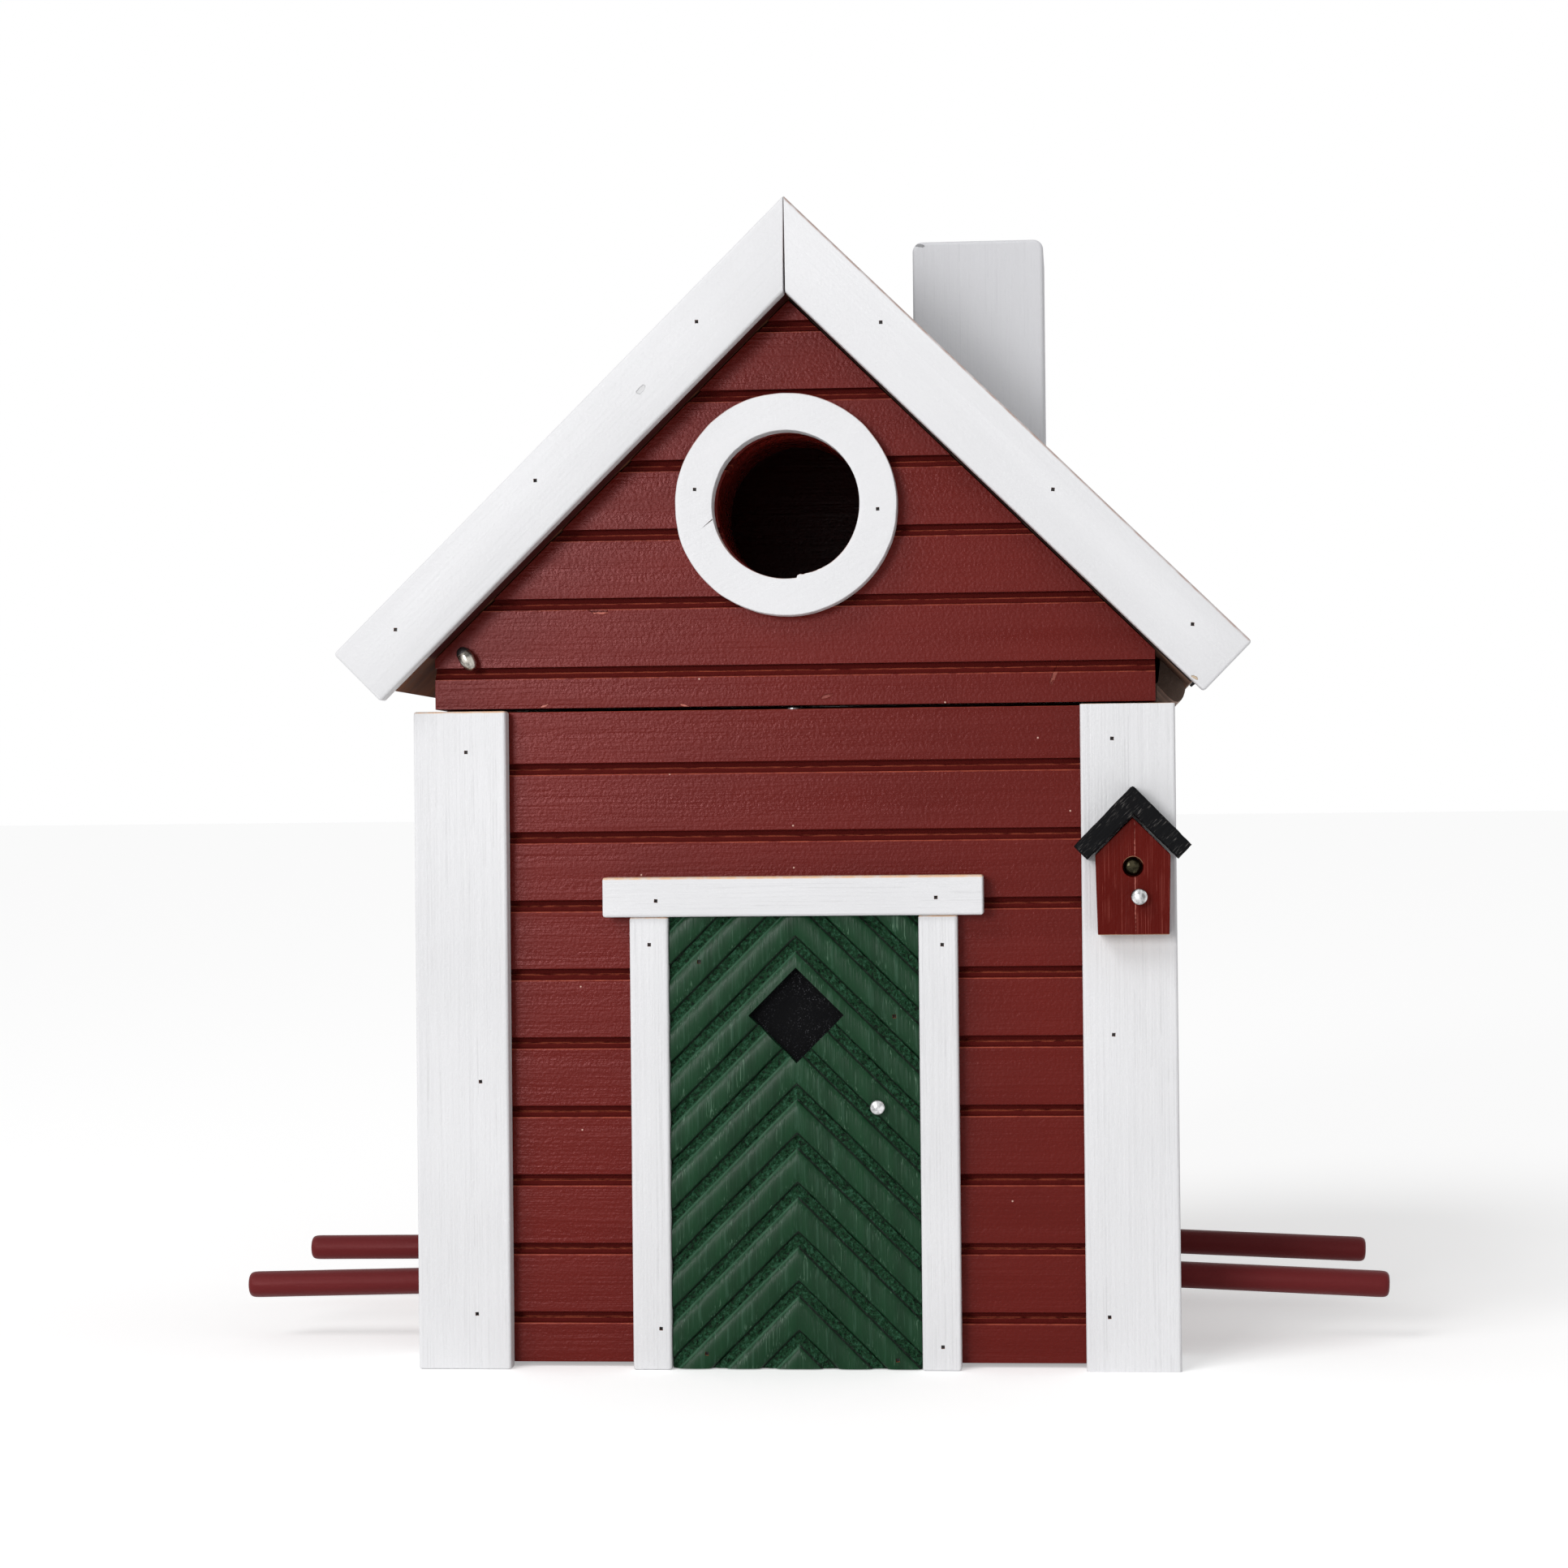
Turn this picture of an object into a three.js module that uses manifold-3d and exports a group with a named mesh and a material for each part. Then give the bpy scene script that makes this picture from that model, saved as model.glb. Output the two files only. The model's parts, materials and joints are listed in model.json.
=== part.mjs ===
// A painted wooden birdhouse with a carved door, a hinged roof lid and four perches.
// Millimetres. X runs to the right, Y to the back and Z up, with the front seen from -Y.
// While it is built, the front wall's outer face lies at y = 0 and the corner boards stand on z = 0.
// The finished group is moved so that its origin is the middle of its footprint.

import * as THREE from "three";
import { mergeVertices } from "three/addons/utils/BufferGeometryUtils.js";
import Module from "manifold-3d";

const wasm = await Module();
wasm.setup();

// Clearances
const seatGap = 0.3;
const runningGap = 0.4;
const cutOverrun = 2;

// Walls
const bodyWidth = 157;
const bodyDepth = 140;
const wallFoot = 1;
const wallTop = 142.8;
const boardThickness = 14;
const sideThickness = 15;
const floorThickness = 12;

// Siding grooves, which have a narrow deep slot above a shallow ledge
const sidingPitch = 14.95;
const grooveHeight = 2.5;
const grooveDepth = 1.9;
const ledgeDepth = 0.9;
const ledgeHeight = 1.2;
const ledgeBevel = 0.3;
const wallFirstGroove = 9.65;
const gableFirstGroove = 7.75;
const grooveMargin = 3;

// Roof
const roofPitch = THREE.MathUtils.degToRad(44.5);
const gableSideHeight = 11.4;
const roofBoardThickness = 12;
const coverThickness = 1.2;
const eaveOverhang = 11.8;
const frontOverhang = 6.2;
const lidGap = 0.8;

// Bargeboards
const bargeWidth = 14.6;
const bargeThickness = 5;
const bargeEnd = 2.2;
const mitreGap = 0.15;
const mitreOpening = 0.35;

// Entrance
const entranceHeightShare = 0.487;
const entranceDiameter = 32;
const entranceBlockMargin = 6;
const entranceBlockThickness = 16;
const ringWidth = 8.2;
const ringThickness = 5.5;
const ringEdgeRound = 0.9;

// Corner boards
const cornerWidth = 20.3;
const cornerThickness = 5;
const cornerSideThickness = 4;
const cornerRise = 0.2;
const trimEdgeRound = 0.7;

// Door and its trim
const doorWidth = 54.2;
const doorHeight = 97.8;
const doorFoot = 0.2;
const doorThickness = 4.2;
const plankPitch = 7.52;
const plankGrooveWidth = 2.1;
const plankGrooveDepth = 1.3;
const chevronAngle = THREE.MathUtils.degToRad(45);
const chevronDrop = 6;
const windowDrop = 21.5;
const windowHalfDiagonal = 10.35;
const backingLap = 2.65;
const backingThickness = 1;
const jambWidth = 8.4;
const jambThickness = 5;
const lintelEnd = 5.65;
const lintelHeight = 8.6;
const lintelThickness = 6.5;
const knobDiameter = 3.5;
const knobPinDiameter = 1.2;
const knobPinLength = 2.4;
const knobInset = 9.1;
const knobRise = 56.6;

// Little birdhouse on the right corner board
const miniDrop = 49.3;
const miniOffset = 0.75;
const miniBaseWidth = 15.1;
const miniEaveWidth = 15.9;
const miniThickness = 7;
const miniHeight = 25.3;
const miniRoofThickness = 4.2;
const miniRoofReach = 13.5;
const miniRoofDepth = 9;
const miniHoleRise = 14.4;
const miniHoleDiameter = 4.4;
const miniHoleDepth = 3.5;
const screwHeadDiameter = 3.7;
const screwHeadThickness = 1.6;
const screwShankDiameter = 1.8;
const screwSlotWidth = 0.6;
const screwSlotDepth = 0.8;
const miniPerchRise = 8.1;
const miniPerchOffset = 1.2;
const miniPerchDiameter = 3.7;

// Chimney
const chimneyWidth = 30.3;
const chimneyDepth = 30.3;
const chimneyOffset = 39.7;
const chimneyRise = 1.3;
const chimneyRound = 2.3;

// Perches
const perchDiameter = 6;
const perchLength = 51.5;
const perchSeatDepth = 10;
const perchHeight = 14.2;
const perchSpacing = 65;
const perchEndRound = 0.7;

// Feed openings in the side walls
const feedWidth = 40;
const feedHeight = 26;
const feedSill = 20;
const feedRound = 6;

// Hanging keyhole in the rear wall
const keyholeDrop = 31.6;
const keyholeDiameter = 10;
const keyholeSlotWidth = 5;
const keyholeSlotRise = 9;

// Lock pin in the gable's lower left corner
const pinRise = 10.9;
const pinDiameter = 2.4;
const pinReach = 26;
const pinHeadLength = 5.6;
const pinHeadDiameter = 3.3;
const pinHeadTilt = THREE.MathUtils.degToRad(33);
const pinHeadStandoff = 2.4;
const pinNotchRelief = 1;

// Stud under the gable
const studHeadDiameter = 3.2;
const studHeadThickness = 0.6;
const studShankDiameter = 1;
const studShankLength = 4;
const studSetback = 3.2;

// Strip hinge under the right eave
const hingeRise = 2.4;
const hingeThickness = 1.6;
const hingeWallDrop = 17;
const hingeLipReach = 7.4;

// Derived places of the walls and the roof
const halfWidth = bodyWidth / 2;
const innerHalfWidth = halfWidth - sideThickness;
const rearInner = bodyDepth - boardThickness;
const midDepth = bodyDepth / 2;
const gableFoot = wallTop + lidGap;
const undersideApex = gableFoot + gableSideHeight + halfWidth * Math.tan(roofPitch);
const roofReach = halfWidth / Math.cos(roofPitch) + eaveOverhang;
const bargeReach = roofReach + bargeEnd;

// Derived places of what they carry
const cornerHalfWidth = halfWidth + cornerSideThickness;
const cornerMiddle = cornerHalfWidth - cornerWidth / 2;
const cornerTop = wallTop + cornerRise;
const entranceHeight = gableFoot + (undersideApex - gableFoot) * entranceHeightShare;
const doorTop = doorFoot + doorHeight;
const windowHeight = doorTop - windowDrop;
const backingHalfDiagonal = windowHalfDiagonal + backingLap;
const jambOuter = doorWidth / 2 + jambWidth;
const lintelHalfWidth = jambOuter + lintelEnd;
const knobOffset = doorWidth / 2 - knobInset;
const knobHeight = doorFoot + knobRise;
const miniMiddle = cornerMiddle + miniOffset;
const miniFoot = cornerTop - miniDrop;
const miniInnerApex = miniFoot + miniHeight;
const miniHoleHeight = miniFoot + miniHoleRise;
const miniPerchHeight = miniFoot + miniPerchRise;
const keyholeHeight = wallTop - keyholeDrop;
const pinOffset = halfWidth - sideThickness / 2;
const pinHeight = gableFoot + pinRise;
const hingeHeight = wallTop + hingeRise;
const hingeOffset = halfWidth + seatGap + hingeThickness / 2;

// Materials
const redPaint = new THREE.MeshStandardMaterial({ color: 0x7a2320, roughness: 0.5, metalness: 0 });
const whitePaint = new THREE.MeshStandardMaterial({ color: 0xe8e9ec, roughness: 0.55, metalness: 0 });
const greenPaint = new THREE.MeshStandardMaterial({ color: 0x1c432a, roughness: 0.5, metalness: 0 });
const blackPaint = new THREE.MeshStandardMaterial({ color: 0x232426, roughness: 0.6, metalness: 0 });
const greyPaint = new THREE.MeshStandardMaterial({ color: 0xd0d1d4, roughness: 0.6, metalness: 0 });
const brownStain = new THREE.MeshStandardMaterial({ color: 0x4a352a, roughness: 0.75, metalness: 0 });
const roofFelt = new THREE.MeshStandardMaterial({ color: 0x26272a, roughness: 0.9, metalness: 0 });
const blackFelt = new THREE.MeshStandardMaterial({ color: 0x0c0c0e, roughness: 0.95, metalness: 0 });
const hingeRubber = new THREE.MeshStandardMaterial({ color: 0x6a5140, roughness: 0.7, metalness: 0 });
const brightSteel = new THREE.MeshStandardMaterial({ color: 0xc4c4c6, roughness: 0.2, metalness: 1 });

// Shaping helpers

function toSolid(geometry) {
  const plain = geometry.clone();
  plain.deleteAttribute("normal");
  plain.deleteAttribute("uv");
  const merged = mergeVertices(plain);
  const mesh = new wasm.Mesh({
    numProp: 3,
    vertProperties: new Float32Array(merged.attributes.position.array),
    triVerts: new Uint32Array(merged.index.array),
  });
  return new wasm.Manifold(mesh);
}

function toGeometry(solid) {
  const mesh = solid.getMesh();
  const indexed = new THREE.BufferGeometry();
  indexed.setAttribute("position", new THREE.BufferAttribute(new Float32Array(mesh.vertProperties), 3));
  indexed.setIndex(new THREE.BufferAttribute(new Uint32Array(mesh.triVerts), 1));
  const geometry = indexed.toNonIndexed();
  geometry.computeVertexNormals();
  return geometry;
}

function cut(geometry, ...tools) {
  return toGeometry(tools.reduce((solid, tool) => solid.subtract(toSolid(tool)), toSolid(geometry)));
}

function join(...geometries) {
  return toGeometry(geometries.map(toSolid).reduce((whole, next) => whole.add(next)));
}

function common(first, second) {
  return toGeometry(toSolid(first).intersect(toSolid(second)));
}

function polygon(points) {
  return new THREE.Shape(points.map(([x, y]) => new THREE.Vector2(x, y)));
}

function extrusion(shape, depth, curveSegments) {
  return new THREE.ExtrudeGeometry(shape, { depth, bevelEnabled: false, curveSegments });
}

// A shape drawn in (y, z) and run along X
function alongX(shape, from, to) {
  const geometry = extrusion(shape, to - from, 5);
  const toRow = new THREE.Matrix4().makeBasis(
    new THREE.Vector3(0, 1, 0),
    new THREE.Vector3(0, 0, 1),
    new THREE.Vector3(1, 0, 0),
  );
  return geometry.applyMatrix4(toRow).translate(from, 0, 0);
}

// A shape drawn in (x, z) and run along Y
function alongY(shape, from, to) {
  const geometry = extrusion(shape, to - from, 5);
  return geometry.rotateX(Math.PI / 2).translate(0, to, 0);
}

// A shape drawn in (x, y) and run up Z
function alongZ(shape, from, to) {
  return extrusion(shape, to - from, 3).translate(0, 0, from);
}

function block(x0, x1, y0, y1, z0, z1) {
  const geometry = new THREE.BoxGeometry(x1 - x0, y1 - y0, z1 - z0);
  return geometry.translate((x0 + x1) / 2, (y0 + y1) / 2, (z0 + z1) / 2);
}

function roundedRectangle(x0, x1, y0, y1, radius) {
  const shape = new THREE.Shape();
  shape.moveTo(x0 + radius, y0);
  shape.lineTo(x1 - radius, y0);
  shape.absarc(x1 - radius, y0 + radius, radius, -Math.PI / 2, 0, false);
  shape.lineTo(x1, y1 - radius);
  shape.absarc(x1 - radius, y1 - radius, radius, 0, Math.PI / 2, false);
  shape.lineTo(x0 + radius, y1);
  shape.absarc(x0 + radius, y1 - radius, radius, Math.PI / 2, Math.PI, false);
  shape.lineTo(x0, y0 + radius);
  shape.absarc(x0 + radius, y0 + radius, radius, Math.PI, Math.PI * 1.5, false);
  return shape;
}

// A round bar about Y, centred on the place given
function barAlongY(diameter, from, to, x, z, sides = 24) {
  const geometry = new THREE.CylinderGeometry(diameter / 2, diameter / 2, to - from, sides);
  return geometry.translate(x, (from + to) / 2, z);
}

function piece(name, geometry, material) {
  const mesh = new THREE.Mesh(geometry, material);
  mesh.name = name;
  return mesh;
}

// Height of a line that runs parallel to the roof's underside, a normal distance above it
function slopeHeight(x, normal) {
  return undersideApex + normal / Math.cos(roofPitch) - Math.abs(x) * Math.tan(roofPitch);
}

// A point on the slope: a distance down it from the apex and a normal distance above the underside
function slopePoint(side, along, normal) {
  return [
    side * (along * Math.cos(roofPitch) + normal * Math.sin(roofPitch)),
    undersideApex - along * Math.sin(roofPitch) + normal * Math.cos(roofPitch),
  ];
}

// The face of a siding board as [depth behind the face, height], from its foot to its top
function sidingFace(foot, top, firstGroove) {
  const points = [[0, foot]];
  for (let middle = foot + firstGroove; middle < top - grooveMargin; middle += sidingPitch) {
    const low = middle - grooveHeight / 2;
    const high = middle + grooveHeight / 2;
    points.push(
      [0, low],
      [ledgeDepth, low + ledgeBevel],
      [ledgeDepth, low + ledgeHeight],
      [grooveDepth, low + ledgeHeight],
      [grooveDepth, high],
      [0, high],
    );
  }
  points.push([0, top]);
  return points;
}

// Front and rear walls

function frontBoard(foot, top, firstGroove, thickness) {
  const profile = [...sidingFace(foot, top, firstGroove), [thickness, top], [thickness, foot]];
  return alongX(polygon(profile), -halfWidth, halfWidth);
}

function rearBoard(foot, top, firstGroove, thickness) {
  const face = sidingFace(foot, top, firstGroove).map(([depth, height]) => [bodyDepth - depth, height]);
  const inner = bodyDepth - thickness;
  return alongX(polygon([...face, [inner, top], [inner, foot]]), -halfWidth, halfWidth);
}

const studBore = new THREE.CylinderGeometry(
  studShankDiameter / 2 + seatGap,
  studShankDiameter / 2 + seatGap,
  studShankLength + seatGap + cutOverrun,
  12,
);
studBore.rotateX(Math.PI / 2);
studBore.translate(0, studSetback, wallTop - (studShankLength + seatGap - cutOverrun) / 2);

function keyhole() {
  const front = rearInner - cutOverrun;
  const back = bodyDepth + cutOverrun;
  const round = barAlongY(keyholeDiameter, front, back, 0, keyholeHeight);
  const slotTop = keyholeHeight + keyholeSlotRise;
  const slot = block(-keyholeSlotWidth / 2, keyholeSlotWidth / 2, front, back, keyholeHeight, slotTop);
  const slotEnd = barAlongY(keyholeSlotWidth, front, back, 0, slotTop);
  return join(round, slot, slotEnd);
}

const frontWall = piece(
  "front_wall",
  cut(frontBoard(wallFoot, wallTop, wallFirstGroove, boardThickness), studBore),
  redPaint,
);
const rearWall = piece(
  "rear_wall",
  cut(rearBoard(wallFoot, wallTop, wallFirstGroove, boardThickness), keyhole()),
  redPaint,
);

// Perches: two dowels a side, each set in the wall at its own slight droop and height

const perches = [
  { name: "perch_left_front", side: -1, end: -1, droop: 1.3, liftShare: -0.08 },
  { name: "perch_left_rear", side: -1, end: 1, droop: 0.3, liftShare: -0.17 },
  { name: "perch_right_front", side: 1, end: -1, droop: 2.6, liftShare: 0.2 },
  { name: "perch_right_rear", side: 1, end: 1, droop: 2.4, liftShare: 0.1 },
];

// Places a bar that points along +X so that it leaves the wall where the perch does
function perchPlace({ side, end, droop, liftShare }) {
  const fall = THREE.MathUtils.degToRad(droop);
  const place = new THREE.Object3D();
  const depth = midDepth + (end * perchSpacing) / 2;
  place.position.set(side * halfWidth, depth, perchHeight + liftShare * perchDiameter);
  place.rotation.y = side > 0 ? fall : Math.PI - fall;
  place.updateMatrix();
  return place.matrix;
}

function perchBar() {
  const radius = perchDiameter / 2;
  const soft = perchEndRound * (1 - Math.SQRT1_2);
  const profile = [
    new THREE.Vector2(0, -perchSeatDepth),
    new THREE.Vector2(radius, -perchSeatDepth),
    new THREE.Vector2(radius, perchLength - perchEndRound),
    new THREE.Vector2(radius - soft, perchLength - soft),
    new THREE.Vector2(radius - perchEndRound, perchLength),
    new THREE.Vector2(0, perchLength),
  ];
  return new THREE.LatheGeometry(profile, 20).rotateZ(-Math.PI / 2);
}

function perchBore() {
  const radius = perchDiameter / 2 + seatGap;
  const length = perchSeatDepth + seatGap + cutOverrun;
  const bore = new THREE.CylinderGeometry(radius, radius, length, 20).rotateZ(-Math.PI / 2);
  return bore.translate(cutOverrun - length / 2, 0, 0);
}

// Side walls: siding outside, a bevelled top under the roof, a feed opening and the perch holes

function feedOpening(side) {
  const outline = roundedRectangle(
    midDepth - feedWidth / 2,
    midDepth + feedWidth / 2,
    feedSill,
    feedSill + feedHeight,
    feedRound,
  );
  const inner = side * (innerHalfWidth - cutOverrun);
  const outer = side * (halfWidth + cutOverrun);
  return alongX(outline, Math.min(inner, outer), Math.max(inner, outer));
}

function sideWall(side) {
  const top = slopeHeight(halfWidth, -seatGap);
  const innerTop = slopeHeight(innerHalfWidth, -seatGap);
  const face = sidingFace(wallFoot, top, wallFirstGroove);
  const outline = face.map(([depth, height]) => [side * (halfWidth - depth), height]);
  outline.push([side * innerHalfWidth, innerTop], [side * innerHalfWidth, wallFoot]);
  const board = alongY(polygon(outline), boardThickness, rearInner);
  const bores = perches.filter((perch) => perch.side === side).map((perch) => {
    return perchBore().applyMatrix4(perchPlace(perch));
  });
  return cut(board, feedOpening(side), ...bores);
}

// The pin's notch is open at the top, so that the lid can be lifted with the pin in its gable
function pinNotch() {
  const low = pinHeight - pinDiameter / 2 - seatGap;
  return block(
    -pinOffset - pinDiameter / 2 - seatGap,
    -pinOffset + pinDiameter / 2 + pinNotchRelief,
    boardThickness - cutOverrun,
    pinReach + seatGap,
    low,
    slopeHeight(innerHalfWidth, cutOverrun),
  );
}

const sideWallLeft = piece("side_wall_left", cut(sideWall(-1), pinNotch()), redPaint);
const sideWallRight = piece("side_wall_right", sideWall(1), redPaint);

const floorBoard = piece(
  "floor_board",
  block(-innerHalfWidth, innerHalfWidth, boardThickness, rearInner, wallFoot, wallFoot + floorThickness),
  brownStain,
);

// Corner boards: one on the front and one on the side at each front corner, one on the side at the rear

const miniScrewBore = barAlongY(
  screwShankDiameter + 2 * seatGap,
  -cornerThickness - cutOverrun,
  cutOverrun,
  miniMiddle,
  miniHoleHeight,
  12,
);

function cornerFront(side) {
  const edges = [side * (cornerHalfWidth - cornerWidth), side * cornerHalfWidth].sort((a, b) => a - b);
  const board = alongZ(roundedRectangle(...edges, -cornerThickness, 0, trimEdgeRound), 0, cornerTop);
  return side > 0 ? cut(board, miniScrewBore) : board;
}

function cornerSide(side, from, to) {
  const edges = [side * halfWidth, side * cornerHalfWidth].sort((a, b) => a - b);
  return alongZ(roundedRectangle(...edges, from, to, trimEdgeRound), 0, cornerTop);
}

const corners = [
  piece("corner_front_left", cornerFront(-1), whitePaint),
  piece("corner_front_right", cornerFront(1), whitePaint),
  piece("corner_side_left_front", cornerSide(-1, 0, cornerWidth), whitePaint),
  piece("corner_side_right_front", cornerSide(1, 0, cornerWidth), whitePaint),
  piece("corner_side_left_rear", cornerSide(-1, bodyDepth - cornerWidth, bodyDepth), whitePaint),
  piece("corner_side_right_rear", cornerSide(1, bodyDepth - cornerWidth, bodyDepth), whitePaint),
];

// Door: carved planks in chevrons, mitred down the middle, round a diamond window

// The planks' section, drawn across them, with the wall side at zero and the crowns at the door's thickness
function plankSection() {
  const low = doorThickness - plankGrooveDepth;
  const crown = low + (plankGrooveDepth * 4) / 3;
  const peak = (doorTop - chevronDrop) * Math.cos(chevronAngle);
  const reach = doorTop * Math.cos(chevronAngle) + (doorWidth / 2) * Math.sin(chevronAngle);
  const first = peak + Math.ceil((reach - peak) / plankPitch) * plankPitch;
  const count = Math.ceil(first / plankPitch) + 1;
  const shape = new THREE.Shape();
  shape.moveTo(first - count * plankPitch, 0);
  shape.lineTo(first, 0);
  shape.lineTo(first, low);
  for (let plank = 0; plank < count; plank += 1) {
    const high = first - plank * plankPitch - plankGrooveWidth / 2;
    const foot = high - plankPitch + plankGrooveWidth;
    shape.lineTo(high, low);
    shape.bezierCurveTo(high, crown, foot, crown, foot, low);
  }
  shape.lineTo(first - count * plankPitch, low);
  return shape;
}

function carvedHalf(side) {
  const across = new THREE.Vector3(side * Math.sin(chevronAngle), 0, Math.cos(chevronAngle));
  const outwards = new THREE.Vector3(0, -1, 0);
  const along = new THREE.Vector3().crossVectors(across, outwards);
  const reach = doorHeight + doorWidth;
  const planks = extrusion(plankSection(), 2 * reach, 6);
  planks.translate(0, 0, -reach);
  planks.applyMatrix4(new THREE.Matrix4().makeBasis(across, outwards, along));
  const edges = [0, (side * doorWidth) / 2].sort((a, b) => a - b);
  const half = block(...edges, -doorThickness - cutOverrun, 0, doorFoot, doorTop);
  return common(planks, half);
}

function diamond(halfDiagonal, from, to) {
  const outline = polygon([
    [halfDiagonal, windowHeight],
    [0, windowHeight + halfDiagonal],
    [-halfDiagonal, windowHeight],
    [0, windowHeight - halfDiagonal],
  ]);
  return alongY(outline, from, to);
}

const knobBore = barAlongY(
  knobPinDiameter + 2 * seatGap,
  -doorThickness - cutOverrun,
  -doorThickness + knobPinLength + seatGap,
  knobOffset,
  knobHeight,
  12,
);

const door = piece(
  "door_panel",
  cut(
    join(carvedHalf(-1), carvedHalf(1)),
    diamond(windowHalfDiagonal, -doorThickness - cutOverrun, cutOverrun),
    diamond(backingHalfDiagonal + seatGap, -backingThickness - seatGap, cutOverrun),
    knobBore,
  ),
  greenPaint,
);
const windowBacking = piece(
  "door_window_backing",
  diamond(backingHalfDiagonal, -backingThickness, 0),
  blackFelt,
);

function doorJamb(side) {
  const edges = [(side * doorWidth) / 2, side * jambOuter].sort((a, b) => a - b);
  return alongZ(roundedRectangle(...edges, -jambThickness, 0, trimEdgeRound), 0, doorTop);
}

const lintelOutline = roundedRectangle(-lintelThickness, 0, doorTop, doorTop + lintelHeight, trimEdgeRound);
const doorTrim = [
  piece("door_jamb_left", doorJamb(-1), whitePaint),
  piece("door_jamb_right", doorJamb(1), whitePaint),
  piece("door_lintel", alongX(lintelOutline, -lintelHalfWidth, lintelHalfWidth), whitePaint),
];

// A ball on a pin that points out along -Y, with the pin's inner end at y = 0
function ballPin(ballDiameter, pinWidth, pinLength) {
  const radius = ballDiameter / 2;
  const steps = 8;
  const neck = Math.asin(pinWidth / ballDiameter);
  const middle = pinLength + radius * Math.cos(neck);
  const profile = [new THREE.Vector2(0, 0), new THREE.Vector2(pinWidth / 2, 0)];
  for (let step = 0; step <= steps; step += 1) {
    const turn = neck + ((Math.PI - neck) * step) / steps;
    const across = step === steps ? 0 : radius * Math.sin(turn);
    profile.push(new THREE.Vector2(across, middle - radius * Math.cos(turn)));
  }
  return new THREE.LatheGeometry(profile, 18).rotateX(Math.PI);
}

const knob = piece("door_knob", ballPin(knobDiameter, knobPinDiameter, knobPinLength), brightSteel);
knob.position.set(knobOffset, -doorThickness + knobPinLength, knobHeight);

// Little birdhouse, drawn about the middle of the corner board's face

function miniBody() {
  const top = miniInnerApex - seatGap / Math.cos(roofPitch);
  const eave = top - miniEaveWidth / 2;
  const outline = polygon([
    [-miniBaseWidth / 2, miniFoot],
    [miniBaseWidth / 2, miniFoot],
    [miniEaveWidth / 2, eave],
    [0, top],
    [-miniEaveWidth / 2, eave],
  ]);
  const front = -miniThickness;
  const seat = front + miniHoleDepth;
  const head = barAlongY(miniHoleDiameter, front - cutOverrun, seat, 0, miniHoleHeight, 20);
  const shank = barAlongY(screwShankDiameter + 2 * seatGap, front, cutOverrun, 0, miniHoleHeight, 12);
  const pin = barAlongY(
    knobPinDiameter + 2 * seatGap,
    front - cutOverrun,
    front + knobPinLength + seatGap,
    miniPerchOffset,
    miniPerchHeight,
    12,
  );
  return cut(alongY(outline, front, 0), head, shank, pin);
}

function miniRoofArm(side) {
  const rise = miniRoofThickness / Math.cos(roofPitch);
  const run = miniRoofReach * Math.cos(roofPitch);
  const fall = miniRoofReach * Math.sin(roofPitch);
  const outRun = run + miniRoofThickness * Math.sin(roofPitch);
  const outFall = fall - miniRoofThickness * Math.cos(roofPitch);
  const outline = polygon([
    [0, miniInnerApex],
    [side * run, miniInnerApex - fall],
    [side * outRun, miniInnerApex - outFall],
    [0, miniInnerApex + rise],
  ]);
  return alongY(outline, -miniRoofDepth, 0);
}

function miniScrew() {
  const headBack = miniThickness - miniHoleDepth - seatGap;
  const shankEnd = -cornerThickness + seatGap;
  const headFront = headBack + screwHeadThickness + 2 * seatGap;
  const profile = [
    new THREE.Vector2(0, shankEnd),
    new THREE.Vector2(screwShankDiameter / 2, shankEnd + screwShankDiameter / 2),
    new THREE.Vector2(screwShankDiameter / 2, headBack + 2 * seatGap),
    new THREE.Vector2(screwHeadDiameter / 2, headBack + 2 * seatGap),
    new THREE.Vector2(screwHeadDiameter / 2, headFront - screwSlotWidth),
    new THREE.Vector2(screwHeadDiameter / 3, headFront),
    new THREE.Vector2(0, headFront),
  ];
  const screw = new THREE.LatheGeometry(profile, 16).rotateX(Math.PI);
  const reach = screwHeadDiameter / 3;
  const floor = -headFront + screwSlotDepth;
  const half = screwSlotWidth / 2;
  const wideSlot = block(-reach, reach, -headFront - cutOverrun, floor, -half, half);
  const tallSlot = block(-half, half, -headFront - cutOverrun, floor, -reach, reach);
  return cut(screw, wideSlot, tallSlot);
}

const miniHouse = new THREE.Group();
miniHouse.position.set(miniMiddle, -cornerThickness, 0);
const miniScrewPiece = piece("mini_house_screw", miniScrew(), brightSteel);
miniScrewPiece.position.z = miniHoleHeight;
const miniPerch = piece(
  "mini_house_perch",
  ballPin(miniPerchDiameter, knobPinDiameter, knobPinLength),
  brightSteel,
);
miniPerch.position.set(miniPerchOffset, -miniThickness + knobPinLength, miniPerchHeight);
miniHouse.add(
  piece("mini_house_body", miniBody(), redPaint),
  piece("mini_roof_left", miniRoofArm(-1), blackPaint),
  piece("mini_roof_right", miniRoofArm(1), blackPaint),
  miniScrewPiece,
  miniPerch,
);

// Stud in the front wall's top edge, under the gable

function studShape() {
  const profile = [
    new THREE.Vector2(0, -studShankLength),
    new THREE.Vector2(studShankDiameter / 2, -studShankLength),
    new THREE.Vector2(studShankDiameter / 2, 0),
    new THREE.Vector2(studHeadDiameter / 2, 0),
    new THREE.Vector2(studHeadDiameter / 2, studHeadThickness / 2),
    new THREE.Vector2(studHeadDiameter / 3, studHeadThickness),
    new THREE.Vector2(0, studHeadThickness),
  ];
  return new THREE.LatheGeometry(profile, 16).rotateX(Math.PI / 2);
}

const stud = piece("gap_stud", studShape(), brightSteel);
stud.position.set(0, studSetback, wallTop);

// Strip hinge: a strip on the wall, and a strip that curls up from it to the roof's underside

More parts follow.
